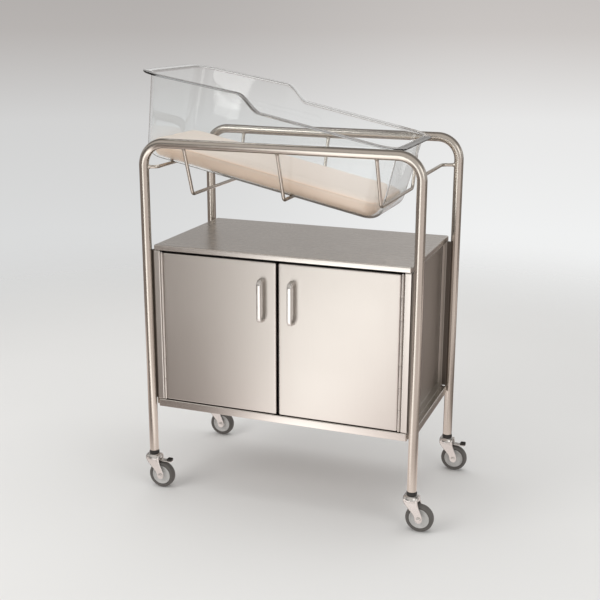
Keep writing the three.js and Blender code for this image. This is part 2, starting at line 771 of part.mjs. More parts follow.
function forkSolid(hasBrake) {
  const shape = forkPlateShape();
  let fork = solid(turned(crownProfile(), turnedSegments));
  fork = fork.add(plateXZ(shape, -forkOuterY, -forkInnerY)).add(plateXZ(shape, forkInnerY, forkOuterY));
  const through = forkOuterY + forkSheet;
  const axleHole = cylinderY(axleDiameter / 2 + pinGap, -through, through, casterTrail, wheelRadius);
  fork = fork.subtract(axleHole);
  if (!hasBrake) return fork;
  const pinHole = cylinderY(brakePinDiameter / 2 + pinGap, -through, through, brakePinX, brakePinZ);
  return fork.subtract(pinHole);
}

const brakePinZ = wheelDiameter + brakeLift;

function axleProfile() {
  const radius = axleDiameter / 2;
  const seat = forkOuterY + seatGap;
  return [
    [0, -seat - axleHead], [axleHeadDiameter / 2, -seat - axleHead], [axleHeadDiameter / 2, -seat],
    [radius, -seat], [radius, seat], [axleHeadDiameter / 2, seat],
    [axleHeadDiameter / 2, seat + axleHead], [0, seat + axleHead],
  ];
}

const hubRadius = wheelRadius - tyreDepth - seatGap;

function hubProfile() {
  const bore = axleDiameter / 2 + pinGap;
  const boss = hubBossDiameter / 2;
  const bossHalf = forkInnerY - forkSideGap / 3;
  const webHalf = hubWeb / 2;
  const rimHalf = tyreWidth / 2 - tyreShoulder / 2;
  const rimInner = hubRadius - hubRim;
  return [
    [bore, -bossHalf], [boss, -bossHalf], [boss, -webHalf], [rimInner, -webHalf],
    [rimInner, -rimHalf], [hubRadius, -rimHalf], [hubRadius, rimHalf], [rimInner, rimHalf],
    [rimInner, webHalf], [boss, webHalf], [boss, bossHalf], [bore, bossHalf], [bore, -bossHalf],
  ];
}

function tyreProfile() {
  const inner = hubRadius + seatGap;
  const half = tyreWidth / 2;
  const tread = half - tyreShoulder;
  const shoulder = wheelRadius - tyreShoulder / 3;
  const bead = half - tyreShoulder / 2;
  const crest = half - tyreShoulder / 3;
  const wallTop = wheelRadius - tyreShoulder;
  return [
    [inner, -bead], [wallTop, -half], [shoulder, -crest], [wheelRadius, -tread],
    [wheelRadius, tread], [shoulder, crest], [wallTop, half], [inner, bead], [inner, -bead],
  ];
}

// The brake lever turns on a pin through the fork and is pressed down on the tyre by its foot pad
function brakeLever() {
  const eye = brakeEyeDiameter / 2;
  const arm = new THREE.Shape();
  arm.moveTo(brakePinX, brakePinZ);
  arm.lineTo(brakeReach, brakePinZ);
  arm.lineTo(brakeReach, brakePinZ + brakeArmThickness);
  arm.lineTo(brakePinX, brakePinZ + brakeArmThickness);
  arm.closePath();
  const half = brakeArmWidth / 2;
  const pinEnd = forkOuterY + brakePinProud;
  const pin = cylinderY(brakePinDiameter / 2, -pinEnd, pinEnd, brakePinX, brakePinZ);
  return plateXZ(arm, -half, half).add(cylinderY(eye, -half, half, brakePinX, brakePinZ)).add(pin);
}

function brakePad() {
  const half = brakeArmWidth / 2;
  const base = brakePinZ + brakeArmThickness + seatGap;
  const edge = brakePadEdge;
  const x0 = brakeReach - brakePadLength;
  const shape = new THREE.Shape();
  shape.moveTo(x0, base);
  shape.lineTo(brakeReach, base);
  shape.lineTo(brakeReach, base + brakePadHeight - edge);
  shape.lineTo(brakeReach - edge, base + brakePadHeight);
  shape.lineTo(x0 + edge, base + brakePadHeight);
  shape.lineTo(x0, base + brakePadHeight - edge);
  shape.closePath();
  return plateXZ(shape, -half, half);
}

function buildCaster(prefix, sideX, sideY, hasBrake) {
  const caster = new THREE.Group();
  caster.position.set(sideX * legX, sideY * legY, 0);
  bassinet.add(caster);
  place(`${prefix}_caster_stem`, turned(stemProfile(), turnedSegments), blackPlastic(), caster);
  place(`${prefix}_caster_fork`, surface(forkSolid(hasBrake)), chrome(), caster);
  const wheel = new THREE.Group();
  wheel.position.set(casterTrail, 0, wheelRadius);
  caster.add(wheel);
  const facetTurn = Math.PI / wheelSegments;
  place(`${prefix}_caster_axle`, turnedAboutY(axleProfile(), smallSegments), chrome(), wheel);
  place(`${prefix}_wheel_hub`, turnedAboutY(hubProfile(), wheelSegments, facetTurn), hubPlastic(), wheel);
  place(`${prefix}_wheel_tyre`, turnedAboutY(tyreProfile(), wheelSegments, facetTurn), tyreRubber(), wheel);
  if (!hasBrake) return;
  place(`${prefix}_brake_lever`, surface(brakeLever()), chrome(), caster);
  place(`${prefix}_brake_pad`, surface(brakePad()), blackPlastic(), caster);
}

buildFrames();
buildCradle();
buildTub();
buildCabinet();
buildDoor('left', -1);
buildDoor('right', 1);
buildCaster('front_left', -1, -1, true);
buildCaster('front_right', 1, -1, false);
buildCaster('rear_left', -1, 1, false);
buildCaster('rear_right', 1, 1, true);

// The origin is under the middle of the whole object, on the floor
bassinet.updateMatrixWorld(true);
const bounds = new THREE.Box3().setFromObject(bassinet, true);
const middle = bounds.getCenter(new THREE.Vector3());
bassinet.position.set(-middle.x, -middle.y, -bounds.min.z);

export default bassinet;
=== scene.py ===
import json
import math

import bmesh
import bpy
import numpy as np
from mathutils import Matrix, Vector


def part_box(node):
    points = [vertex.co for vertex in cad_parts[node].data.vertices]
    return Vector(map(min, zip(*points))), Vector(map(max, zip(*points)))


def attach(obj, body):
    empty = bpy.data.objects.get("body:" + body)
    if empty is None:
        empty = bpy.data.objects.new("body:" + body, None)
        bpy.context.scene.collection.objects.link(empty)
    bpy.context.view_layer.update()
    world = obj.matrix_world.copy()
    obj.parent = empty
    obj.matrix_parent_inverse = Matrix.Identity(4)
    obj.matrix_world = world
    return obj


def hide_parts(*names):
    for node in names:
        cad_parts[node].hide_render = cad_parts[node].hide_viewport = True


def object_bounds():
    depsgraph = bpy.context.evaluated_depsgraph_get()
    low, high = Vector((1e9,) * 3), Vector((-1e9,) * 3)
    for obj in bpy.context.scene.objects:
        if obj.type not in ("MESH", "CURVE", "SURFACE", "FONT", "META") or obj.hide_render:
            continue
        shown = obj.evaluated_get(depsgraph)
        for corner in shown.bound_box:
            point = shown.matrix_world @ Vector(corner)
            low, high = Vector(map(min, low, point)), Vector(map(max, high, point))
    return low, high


# A hospital bassinet: clear tub and pad in a wire cradle, bent-tube frames on casters, two-door cabinet.
# Metres, +Z up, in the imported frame. The tub's head is at -X and the doors face -Y.
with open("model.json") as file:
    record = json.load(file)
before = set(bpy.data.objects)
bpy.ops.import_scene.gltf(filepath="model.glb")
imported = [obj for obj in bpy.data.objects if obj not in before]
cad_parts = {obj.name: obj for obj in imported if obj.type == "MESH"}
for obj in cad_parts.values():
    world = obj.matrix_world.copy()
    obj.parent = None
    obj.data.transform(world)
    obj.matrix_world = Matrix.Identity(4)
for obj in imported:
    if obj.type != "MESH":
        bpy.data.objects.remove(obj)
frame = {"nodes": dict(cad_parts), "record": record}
cadLow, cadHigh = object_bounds()
scene = bpy.context.scene
bodyOf = {node: body for body, nodes in frame["record"]["behaviour"]["bodies"].items() for node in nodes}
seatGap = 0.0003  # gap between neighbouring pieces of the frame


# A node's lowest and highest corners, and its middle
def boxOf(node):
    low, high = (np.array(corner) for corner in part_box(node))
    return low, high, (low + high) / 2


def halfOf(node):
    low, high, _ = boxOf(node)
    return (high - low) / 2


topLow, topHigh, topMiddle = boxOf("cabinet_top")
centre = topMiddle * [1, 1, 0]
print("frame loaded:", len(frame["nodes"]), "nodes, cabinet centre", centre.round(4))


# Meshes

def unit(vectors):
    return vectors / np.maximum(np.linalg.norm(vectors, axis=-1, keepdims=True), 1e-12)


# Points from their coordinates, each an array or one number for all
def columns(*values):
    return np.stack(np.broadcast_arrays(*values), axis=-1)


# An arc about the origin: the cosine and sine at even steps between two angles in degrees
def arc(start, end, steps):
    angles = np.radians(np.linspace(start, end, steps + 1))
    return columns(np.cos(angles), np.sin(angles))


def circle(sides):
    return arc(0, 360, sides)[:-1]


# Rows of points become a skin: each row joins the next by quads, the last column joins the first, and capped
# ends are flat faces. The last argument gives each row a value: 0 on flat sheet, 1 on a rubbed bend, and
# below 0 where shade is painted in, down to -1 where it is darkest.
def skin(rows, capped=True, wear=0.0):
    count, around = rows.shape[:2]
    index = np.arange(count * around).reshape(count, around)
    beside = np.roll(index, -1, axis=1)
    faces = columns(index[:-1], beside[:-1], beside[1:], index[1:]).reshape(-1, 4).tolist()
    if capped:
        faces += [index[0, ::-1].tolist(), index[-1].tolist()]
    return rows.reshape(-1, 3), faces, np.repeat(np.broadcast_to(wear, count), around)


# One object from several skins, with meeting points merged and every face turned outwards
def assemble(name, skins, meeting=1e-6):
    points, skinFaces, wornAndShaded = zip(*skins)
    starts = np.cumsum([0, *map(len, points)]).tolist()
    faces = [[corner + start for corner in face] for start, group in zip(starts, skinFaces) for face in group]
    mesh = bpy.data.meshes.new(name)
    mesh.from_pydata(np.concatenate(points).tolist(), [], faces)
    mesh.attributes.new("edgeWear", "FLOAT", "POINT").data.foreach_set("value", np.concatenate(wornAndShaded))
    sheet = bmesh.new()
    sheet.from_mesh(mesh)
    bmesh.ops.remove_doubles(sheet, verts=sheet.verts, dist=meeting)
    bmesh.ops.dissolve_degenerate(sheet, edges=sheet.edges, dist=meeting)
    bmesh.ops.recalc_face_normals(sheet, faces=sheet.faces)
    sheet.to_mesh(mesh)
    sheet.free()
    mesh.shade_smooth()
    piece = bpy.data.objects.new(name, mesh)
    scene.collection.objects.link(piece)
    return piece


# A rounded rectangle walked once round: quarter arcs of one radius about its four inset corners
def roundedLoop(halves, radius, steps=6):
    signs = np.repeat([(1, 1), (-1, 1), (-1, -1), (1, -1)], steps + 1, axis=0)
    arcs = np.concatenate([arc(start, start + 90, steps) for start in (0, 90, 180, 270)])
    return signs * (np.asarray(halves) - radius) + radius * arcs


# A rectangle with a square bite out of each corner, walked once round: one quarter is an outer arc, a hollow
# arc and an outer arc, and the other three are its mirror images
def bittenLoop(halves, bite, radius, hollow, steps):
    out, back = radius * (arc(0, 90, steps) - 1), hollow * (1 - arc(90, 0, steps))
    (halfA, halfB), (innerA, innerB) = halves, halves - bite
    first = np.concatenate([[halfA, innerB] + out, [innerA, innerB] + back, [innerA, halfB] + out])
    return np.concatenate([first, (first * [-1, 1])[::-1], -first, (first * [1, -1])[::-1]])


# An outline that can be drawn in: a rounded rectangle, or one with bitten corners
def outlineOf(halves, corner, bite=None, steps=6, hollow=0.002, leastCorner=0.0002):
    def drawnIn(inset):
        radius = max(corner - inset, leastCorner)
        if bite is None:
            return roundedLoop(halves - inset, radius, steps)
        return bittenLoop(halves - inset, bite, radius, hollow + inset, steps)
    return drawnIn


# A stack of loops: each [inset, depth] pair of the profile draws the outline in and moves it along the
# stacking axis. axes names the two outline axes and then the stacking axis.
def loopStack(middle, outline, profile, axes):
    loops = np.stack([outline(inset) for inset, depth in profile])
    rows = np.empty((*loops.shape[:2], 3))
    rows[..., axes] = columns(loops[..., 0], loops[..., 1], np.asarray(profile)[:, 1:])
    return rows + middle


# A folded sheet tray as [inset, depth] pairs: out over the outer face, round the bend, along the lip, round
# its hem, back inside. The rubbing values beside it are full on the bend and less on the hem.
def trayProfile(lip, sheet, bend, way, flat=0.006):
    hem = sheet / 2
    profile = np.concatenate([
        [[bend + flat, 0]], bend + bend * arc(270, 180, 5), [hem, lip - hem] + hem * arc(180, 0, 6),
        bend + (bend - sheet) * arc(180, 270, 5), [[bend + flat, sheet]],
    ])
    return profile * [1, way], np.repeat([0, 1, 0, 0.6, 0], [2, 4, 1, 6, 8])


# A block with rounded corners and edges: the loop is drawn in by a quarter arc at both ends
def roundedBlock(low, high, edge, corner=None, wear=0.0, steps=4):
    low, high = np.array(low), np.array(high)
    halves = (high - low) / 2
    quarter = np.concatenate([[[edge * 1.5, 0]], edge + edge * arc(270, 180, steps)]) - [0, halves[2]]
    profile = np.concatenate([quarter, (quarter * [1, -1])[::-1]])
    outline = outlineOf(halves[:2], corner or edge, steps=steps)
    return skin(loopStack((low + high) / 2, outline, profile, (0, 1, 2)), wear=wear)


# A profile with its corners rounded: each becomes a curve that takes at most a share of either side
def softened(profile, radius, closed, steps=4, mostShare=0.45):
    corners = np.asarray(profile, float)
    t = np.linspace(0, 1, steps + 1)[:, None]
    rounded = []
    for k, corner in enumerate(corners):
        if not closed and k in (0, len(corners) - 1):
            rounded.append(corner[None])
            continue
        before, after = corners[k - 1] - corner, corners[(k + 1) % len(corners)] - corner
        reach = min(radius, mostShare * np.linalg.norm(before), mostShare * np.linalg.norm(after))
        start, end = corner + unit(before) * reach, corner + unit(after) * reach
        rounded.append((1 - t) ** 2 * start + 2 * t * (1 - t) * corner + t ** 2 * end)
    return np.concatenate(rounded)


# A profile of [radius, height] pairs, softened at its corners and turned about an axis through a point
def turned(profile, point, axis, sides, soft=0.0, closed=False):
    profile = softened(profile, soft, closed) if soft else np.asarray(profile, float)
    if closed:
        profile = np.concatenate([profile, profile[:1]])
    radius, height = profile.T[..., None]
    cosine, sine = circle(sides).T
    rows = columns(radius * cosine, radius * sine, height)
    return skin(np.roll(rows, axis + 1, axis=-1) + point, capped=False)


# A bent rod's centreline: straight runs between corners, with each corner rounded by an arc. bends is one
# radius for all the corners or one for each.
def bentPath(corners, bends, steps):
    corners = np.asarray(corners, float)
    runs = unit(np.diff(corners, axis=0))
    points, tangents = [corners[:1]], [runs[:1]]
    bends = np.broadcast_to(bends, len(runs) - 1)
    for corner, into, out, bend in zip(corners[1:-1], runs[:-1], runs[1:], bends):
        turn = math.acos(np.clip(into @ out, -1, 1))
        inward = unit(out - into * math.cos(turn))
        middle = corner - into * bend * math.tan(turn / 2) + inward * bend
        angles = np.linspace(0, turn, steps + 1)[:, None]
        points.append(middle - inward * bend * np.cos(angles) + into * bend * np.sin(angles))
        tangents.append(into * np.cos(angles) + inward * np.sin(angles))
    return np.concatenate([*points, corners[-1:]]), np.concatenate([*tangents, runs[-1:]])


# A section carried along a path: section A lies along a normal that turns as little as it can from point to
# point, and B square to it. Each end has a list of [distance from the end, scale of the section] pairs in
# place of its end point.
def swept(path, normal, section, startEnd, finishEnd):
    points, tangents = path
    start, finish = np.array(startEnd, float), np.array(finishEnd[::-1], float)
    first = points[0] + tangents[0] * start[:, :1]
    last = points[-1] - tangents[-1] * finish[:, :1]
    line = np.concatenate([first, points[1:-1], last])
    scales = np.concatenate([start[:, 1], np.ones(len(points) - 2), finish[:, 1]])
    ends = np.repeat(tangents[:1], len(start), axis=0), np.repeat(tangents[-1:], len(finish), axis=0)
    along = np.concatenate([ends[0], tangents[1:-1], ends[1]])
    normals = np.empty_like(along)
    for row, tangent in enumerate(along):
        normals[row] = normal = unit(normal - tangent * np.dot(normal, tangent))
    square = np.cross(along, normals)
    offset = section[None, :, :1] * normals[:, None] + section[None, :, 1:] * square[:, None]
    return skin(line[:, None] + offset * scales[:, None, None])


# Shader maths

class Signal:
    # One output in a node tree: sums and products of signals and numbers become Math nodes
    def __init__(self, board, socket):
        self.board = board
        self.socket = socket

    def maths(self, operation, first, second):
        return self.board.node("Math", {"operation": operation}, {0: first, 1: second})

    def __add__(self, other):
        return self.maths("ADD", self, other)

    def __sub__(self, other):
        return self.maths("SUBTRACT", self, other)

    def __rsub__(self, other):
        return self.maths("SUBTRACT", other, self)

    def __mul__(self, other):
        return self.maths("MULTIPLY", self, other)

    __radd__, __rmul__ = __add__, __mul__


class Board:
    # A node tree that nodes are added to by type, settings, and the values or links of their sockets
    def __init__(self, tree):
        self.tree = tree

    def feed(self, socket, value):
        if isinstance(value, Signal):
            self.tree.links.new(value.socket, socket)
        else:
            socket.default_value = value

    def node(self, kind, settings, inputs, output=0):
        made = self.tree.nodes.new("ShaderNode" + kind)
        for name, value in settings.items():
            if name == "stops":
                ramp = made.color_ramp.elements
                for place, colour in value[1:-1]:
                    ramp.new(place).color = colour
                for element, (place, colour) in ((ramp[0], value[0]), (ramp[-1], value[-1])):
                    element.position, element.color = place, colour
            else:
                setattr(made, name, value)
        for name, value in inputs.items():
            self.feed(made.inputs[name], value)
        return Signal(self, made.outputs[output])

    def place(self, scale=(1, 1, 1)):
        coordinates = self.node("TexCoord", {}, {}, "Object")
        return self.node("Mapping", {}, {"Vector": coordinates, "Scale": scale})

    def noise(self, size, detail, rough, scale=(1, 1, 1)):
        inputs = {"Vector": self.place(scale), "Scale": size, "Detail": detail, "Roughness": rough}
        return self.node("TexNoise", {}, inputs)

    def blend(self, factor, first, second):
        return self.node("Mix", {"data_type": "RGBA"}, {0: factor, 6: first, 7: second}, 2)

    def bump(self, height, strength, distance):
        return self.node("Bump", {}, {"Height": height, "Strength": strength, "Distance": distance})

    def attribute(self, name):
        return self.node("Attribute", {"attribute_name": name}, {}, "Fac")

    def axis(self, vector, name):
        return self.node("SeparateXYZ", {}, {"Vector": vector}, name)

    def ray(self, kind):
        return self.node("LightPath", {}, {}, f"Is {kind} Ray")

    # What metal mirrors: glossy rays, but not those that pass through the clear tub
    def mirrorRay(self):
        return self.ray("Glossy") * (1 - self.ray("Transmission"))

    def smooth(self, value, start, end):
        span = {"Value": value, "From Min": start, "From Max": end}
        return self.node("MapRange", {"interpolation_type": "SMOOTHSTEP"}, span)

    def either(self, factor, first, second):
        return self.node("MixShader", {}, {0: factor, 1: first, 2: second})

    # Sets or links sockets of a material's main shader
    def paint(self, sockets):
        shader = self.tree.nodes["Principled BSDF"]
        for name, value in sockets.items():
            self.feed(shader.inputs[name], value)
        return Signal(self, shader.outputs[0])

    # Sends a shader to the tree's output
    def show(self, surface):
        output = next(node for node in self.tree.nodes if node.bl_idname.startswith("ShaderNodeOutput"))
        self.feed(output.inputs["Surface"], surface)


def newFinish(name, constants):
    material = bpy.data.materials.new(name)
    material.use_nodes = True
    board = Board(material.node_tree)
    board.paint(constants)
    return material, board


# Sheet steel with a satin grain along one axis: fine streaks, broad hand smudges, bright bends, and painted
# shade that darkens the grooves beside the legs
def satinSteel(name, grainScale, roughness):
    look = {
        "light": (0.63, 0.6, 0.565, 1), "dark": (0.56, 0.53, 0.495, 1), "edge": (0.78, 0.755, 0.72, 1),
        "painted groove shade": (0.16, 0.142, 0.125, 1), "grain": (1.0, 4.0, 0.6), "smudge": (5.0, 4.0, 0.55),
        "grain tone": 0.65, "smudge tone": 0.35, "edge tone": 0.6, "grain dulls": 0.1, "smudge dulls": 0.08,
        "edge shines": 0.06, "relief": (0.12, 0.0002),
    }
    material, board = newFinish(name, {"Metallic": 1.0})
    grain, smudge = board.noise(*look["grain"], grainScale), board.noise(*look["smudge"])
    wornAndShaded = board.attribute("edgeWear")
    tone = look["grain tone"] * grain + look["smudge tone"] * smudge
    sheetColour = board.blend(tone, look["dark"], look["light"])
    rubbed = board.blend(look["edge tone"] * wornAndShaded, sheetColour, look["edge"])
    dulled = roughness + look["grain dulls"] * grain + look["smudge dulls"] * smudge
    board.paint({
        # Below 0 the value paints shade: the colour is darkened towards the dark shade colour in the grooves
        # beside the legs
        "Base Color": board.blend(-1.0 * wornAndShaded, rubbed, look["painted groove shade"]),
        "Roughness": dulled - look["edge shines"] * wornAndShaded,
        "Normal": board.bump(grain, *look["relief"]),
    })
    return material


# A fine grain, in relief, under broad marks or dust: both shift the tone between two colours and the
# roughness. tone has the shares of grain and marks, and roughness its base value and then theirs.
def mottled(name, constants, dark, light, grain, marks, tone, roughness, relief):
    material, board = newFinish(name, constants)
    fine, broad = board.noise(*grain), board.noise(marks, 4.0, 0.6)
    board.paint({
        "Base Color": board.blend(tone[0] * fine + tone[1] * broad, (*dark, 1), (*light, 1)),
        "Roughness": roughness[0] + roughness[1] * fine + roughness[2] * broad,
        "Normal": board.bump(fine, *relief),
    })
    return material


# Plastic and rubber: a fine moulded texture, dust that lightens and dulls it in patches
def moulded(name, base, dusty, roughness, textureSize, textureDepth):
    return mottled(
        name, {"Specular IOR Level": 0.4}, base, dusty, grain=(textureSize, 3.0, 0.55), marks=45.0,
        tone=(0.0, 0.8), roughness=(roughness, -0.08, 0.2), relief=(0.25, textureDepth),
    )


# Clear thermoformed sheet: refracting, lightly scuffed, and lamps pass straight through it
def clearAcrylic(name):
    look = {
        "scuff": (60.0, 5.0, 0.7), "haze": (4.0, 3.0, 0.5), "polish": 0.015, "scuffed": 0.03,
        "passing": (0.93, 0.945, 0.945, 1),
    }
    glass = {"Base Color": (0.975, 0.985, 0.985, 1), "IOR": 1.49, "Transmission Weight": 1.0}
    material, board = newFinish(name, glass)
    scuff, haze = board.noise(*look["scuff"]), board.noise(*look["haze"])
    clear = board.paint({"Roughness": look["polish"] + look["scuffed"] * scuff * haze})
    passing = board.node("BsdfTransparent", {}, {"Color": look["passing"]})
    shadow = board.ray("Shadow")
    through = shadow.maths("MAXIMUM", shadow, board.ray("Diffuse"))
    board.show(board.either(through, clear, passing))
    return material


# Wipe-clean pad cover: a close weave under a glossy coating, paler where it is rubbed, and greyer on top by
# painted sheen
def padCover(name):
    look = {
        "cloth": (0.9, 0.645, 0.49, 1), "rubbed": (0.92, 0.715, 0.575, 1), "top": (0.72, 0.62, 0.545, 1),
        "threads": 190.0, "rub": (7.0, 5.0, 0.6), "rub tone": 0.8, "weave tone": 0.06, "gloss": 0.3,
        "rub dulls": 0.12, "weave dulls": 0.02, "relief": (0.05, 0.0002),
    }
    material, board = newFinish(name, {"Sheen Weight": 0.15, "Sheen Roughness": 0.4})
    waves = {"wave_type": "BANDS", "wave_profile": "SIN"}
    threads = {"Vector": board.place(), "Scale": look["threads"]}
    warp = board.node("TexWave", {**waves, "bands_direction": "X"}, threads)
    weft = board.node("TexWave", {**waves, "bands_direction": "Y"}, threads)
    weave = warp.maths("MAXIMUM", warp, weft)
    rub = board.noise(*look["rub"])
    tone = look["rub tone"] * rub + look["weave tone"] * weave
    border = board.blend(tone, look["cloth"], look["rubbed"])
    board.paint({
        # The top is blended to a greyer, less saturated colour: painted sheen, as if light glanced off it
        "Base Color": board.blend(board.attribute("topPanel"), border, look["top"]),
        "Roughness": look["gloss"] + look["rub dulls"] * rub + look["weave dulls"] * weave,
        "Normal": board.bump(weave, *look["relief"]),
    })
    return material


finishes = {
    "satin_steel": satinSteel("satin steel, grain along", (14, 1500, 1500), 0.18),
    "satin_steel_upright": satinSteel("satin steel, grain upright", (1500, 1500, 14), 0.25),
    "tube_steel": mottled(  # polished tube and wire: a faint drawn grain, finger marks, a straw tint
        "tube steel", {"Metallic": 1.0}, (0.54, 0.5, 0.45), (0.66, 0.62, 0.565), grain=(420.0, 3.0, 0.5),
        marks=9.0, tone=(0.3, 0.7), roughness=(0.14, 0.06, 0.12), relief=(0.05, 0.0002),
    ),
    "bright_steel": mottled(  # plated handles and casters: bright, with a slight ripple and dull marks
        "bright steel", {"Metallic": 1.0}, (0.66, 0.65, 0.63), (0.8, 0.79, 0.77), grain=(160.0, 2.0, 0.4),
        marks=28.0, tone=(0.0, 1.0), roughness=(0.16, 0.0, 0.16), relief=(0.06, 0.0004),
    ),
    "black_plastic": moulded("black plastic", (0.02, 0.018, 0.016), (0.045, 0.041, 0.038), 0.4, 900, 0.0001),
    "hub_plastic": moulded("hub plastic", (0.56, 0.55, 0.535), (0.66, 0.65, 0.635), 0.35, 700.0, 0.0001),
    "tyre_rubber": moulded("tyre rubber", (0.09, 0.084, 0.078), (0.17, 0.16, 0.15), 0.6, 600.0, 0.0002),
    "clear_acrylic": clearAcrylic("clear acrylic"),
    "pad_cover": padCover("pad cover"),
}
print("finishes made:", len(finishes))


# A piece takes a finish, moves with a CAD node's body and stands for the node, unless it only lies on it
def dress(piece, finish, node, stands=True):
    piece.data.materials.append(finishes[finish])
    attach(piece, bodyOf[node])
    if stands:
        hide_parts(node)
    return piece


def makePiece(name, skins, finish, node):
    return dress(assemble(name, skins), finish, node)


def makeSheetPiece(name, skins, finish, node):
    even = makePiece(name, skins, finish, node).modifiers.new("even shading", "WEIGHTED_NORMAL")
    even.keep_sharp = False


# A CAD node that stays gets a new finish
def refinish(node, finish):
    frame["nodes"][node].material_slots[0].material = finishes[finish]


# Frames: an inverted U of tube at the front and at the back
frameTube = {
    "bend": 0.06, "wall": 0.0015, "bore depth": 0.03, "bore end": 0.02, "edge": 0.0008, "sides": 40,
    "bend steps": 24,
}


# A bent tube whose open ends run up the bore, over the wall and round its outer edge
def makeFrameTube(node):
    low, high, (_, y, _) = boxOf(node)
    radius = halfOf(node)[1]
    x0, x1, railZ = low[0] + radius, high[0] - radius, high[2] - radius
    corners = [(x0, y, low[2]), (x0, y, railZ), (x1, y, railZ), (x1, y, low[2])]
    bore, edge, deep = 1 - frameTube["wall"] / radius, frameTube["edge"], frameTube["bore depth"]
    end = [(deep, frameTube["bore end"]), (deep, bore), (0, bore), (0, 1 - edge / radius)]
    end += [(edge * 0.3, 1 - 0.3 * edge / radius), (edge, 1.0), (edge * 4, 1.0)]
    path = bentPath(corners, frameTube["bend"], frameTube["bend steps"])
    tube = swept(path, (0, 1, 0), radius * circle(frameTube["sides"]), end, end)
    makePiece(node.replace("_tube", ""), [tube], "tube_steel", node)
    return radius, y, x0, x1, railZ


tubeRadius, frontY, legX0, legX1, railZ = makeFrameTube("front_frame_tube")
rearY = makeFrameTube("rear_frame_tube")[1]
print("frames made: legs at", round(legX0, 4), round(legX1, 4), "rail", round(railZ, 4))


# Cradle wires: three hangers across the rails, a wire across the head legs and one from the rear foot leg,
# with weld beads
wire = {
    "radius": 0.0045, "sides": 24, "hanger bend": 0.014, "end bend": 0.018, "bend steps": 10,
    "bar half": 0.1518, "end slant": 0.0145, "hook bend": 0.007, "weld spread": 1.6, "weld length": 0.0075,
    "weld depth": 0.0015, "weld rows": 7,
}


# A weld bead: the wire starts inside the tube, spread wide, and narrows along a quarter wave
def weldEnd():
    t = np.linspace(0, 1, wire["weld rows"])
    spread = 1 + (wire["weld spread"] - 1) * (1 - np.sin(t * np.pi / 2))
    bead = columns(tubeRadius - wire["weld depth"] + t * wire["weld length"], spread)
    return [(tubeRadius - 2 * wire["weld depth"], wire["weld spread"]), *bead.tolist()]


# A domed free end: the section grows along a quarter circle
def roundEnd():
    return [(wire["radius"] * (1 - cosine), sine) for cosine, sine in arc(4, 90, 6)]


def makeWire(name, node, corners, bends, normal, finishEnd):
    path = bentPath(corners, bends, wire["bend steps"])
    rod = swept(path, normal, wire["radius"] * circle(wire["sides"]), weldEnd(), finishEnd)
    makePiece(name, [rod], "tube_steel", node)


barFront, barRear = centre[1] - wire["bar half"], centre[1] + wire["bar half"]
for end in ("head", "middle", "foot"):
    node = f"{end}_cradle_hanger"
    low, _, (x, _, _) = boxOf(node)
    barZ = low[2] + wire["radius"]
    corners = [(x, frontY, railZ), (x, barFront, barZ), (x, barRear, barZ), (x, rearY, railZ)]
    makeWire(f"{end}_hanger", node, corners, wire["hanger bend"], (1, 0, 0), weldEnd())

_, headHigh, headMiddle = boxOf("head_end_wire")
footLow, footHigh, _ = boxOf("foot_end_wire")
headX, headZ = headHigh[0] - wire["radius"], headMiddle[2]
footX, footZ = footLow[0] + wire["radius"], footHigh[2] - wire["radius"]
hookY = footLow[1] + wire["radius"]
stepFront, stepRear = frontY + wire["end slant"], rearY - wire["end slant"]
headCorners = [(legX0, frontY), (headX, stepFront), (headX, stepRear), (legX0, rearY)]
headCorners = [(x, y, headZ) for x, y in headCorners]
makeWire("head_wire", "head_end_wire", headCorners, wire["end bend"], (0, 0, 1), weldEnd())

# The foot wire leaves the rear leg, crosses to mid-width and turns down into a free end
footHook = [(footX, hookY, footZ), (footX, hookY, footLow[2])]
footCorners = [(legX1, rearY, footZ), (footX, stepRear, footZ), *footHook]
footBends = (wire["end bend"], wire["hook bend"])
makeWire("foot_wire", "foot_end_wire", footCorners, footBends, (0, 0, 1), roundEnd())
print("cradle made: end wires at heights", round(headZ, 4), round(footZ, 4))


# Tub: drafted walls over a rounded floor, and a flange whose rim steps down towards the foot. Measured
# along the tub's own floor: u towards the foot, v across, w up from the floor.
tub = {
    "floor length": 0.67, "width": 0.374, "head depth": 0.235, "foot depth": 0.2, "rim fall": 0.01,
    "wall": 0.004, "flange": 0.02, "flange thickness": 0.004, "side draft": math.radians(7.2),
    "end draft": math.radians(3), "corner": 0.045, "floor fillet": 0.031, "step start": -0.17,
    "step length": 0.07, "under fillet": 0.003, "rim roll": 0.006, "corner steps": 14, "step stations": 36,
    "head stations": 6, "foot stations": 10, "station inset": 0.09, "fillet steps": 9, "under steps": 5,
    "edge steps": 8, "roll steps": 7,
}
middleLow, _, (hangerX, _, _) = boxOf("middle_cradle_hanger")
barZ = middleLow[2] + wire["radius"]
hangerSpacing = boxOf("foot_cradle_hanger")[0][0] - middleLow[0]
tilt = math.atan2(headZ - barZ, hangerX - headX)
tubUp = np.array([math.sin(tilt), 0, math.cos(tilt)])
seat = wire["radius"] + seatGap
tubOrigin = np.array([hangerX, centre[1], barZ]) + seat * tubUp
barAbove = hangerSpacing * math.sin(tilt) - seat
floorHalf = tub["width"] / 2 - tub["flange"] - tub["head depth"] * math.tan(tub["side draft"])
footU = hangerSpacing * math.cos(tilt) - barAbove * math.tan(tub["end draft"])
footU -= seat / math.cos(tub["end draft"])
headU = footU - tub["floor length"]


# From the tub's own u, v, w to the frame: turned by the tilt about Y, then moved to the cradle
def fromTub(points):
    u, v, w = np.moveaxis(points, -1, 0)
    along, rise = u * math.cos(tilt) + w * math.sin(tilt), w * math.cos(tilt) - u * math.sin(tilt)
    return columns(along, v, rise) + tubOrigin


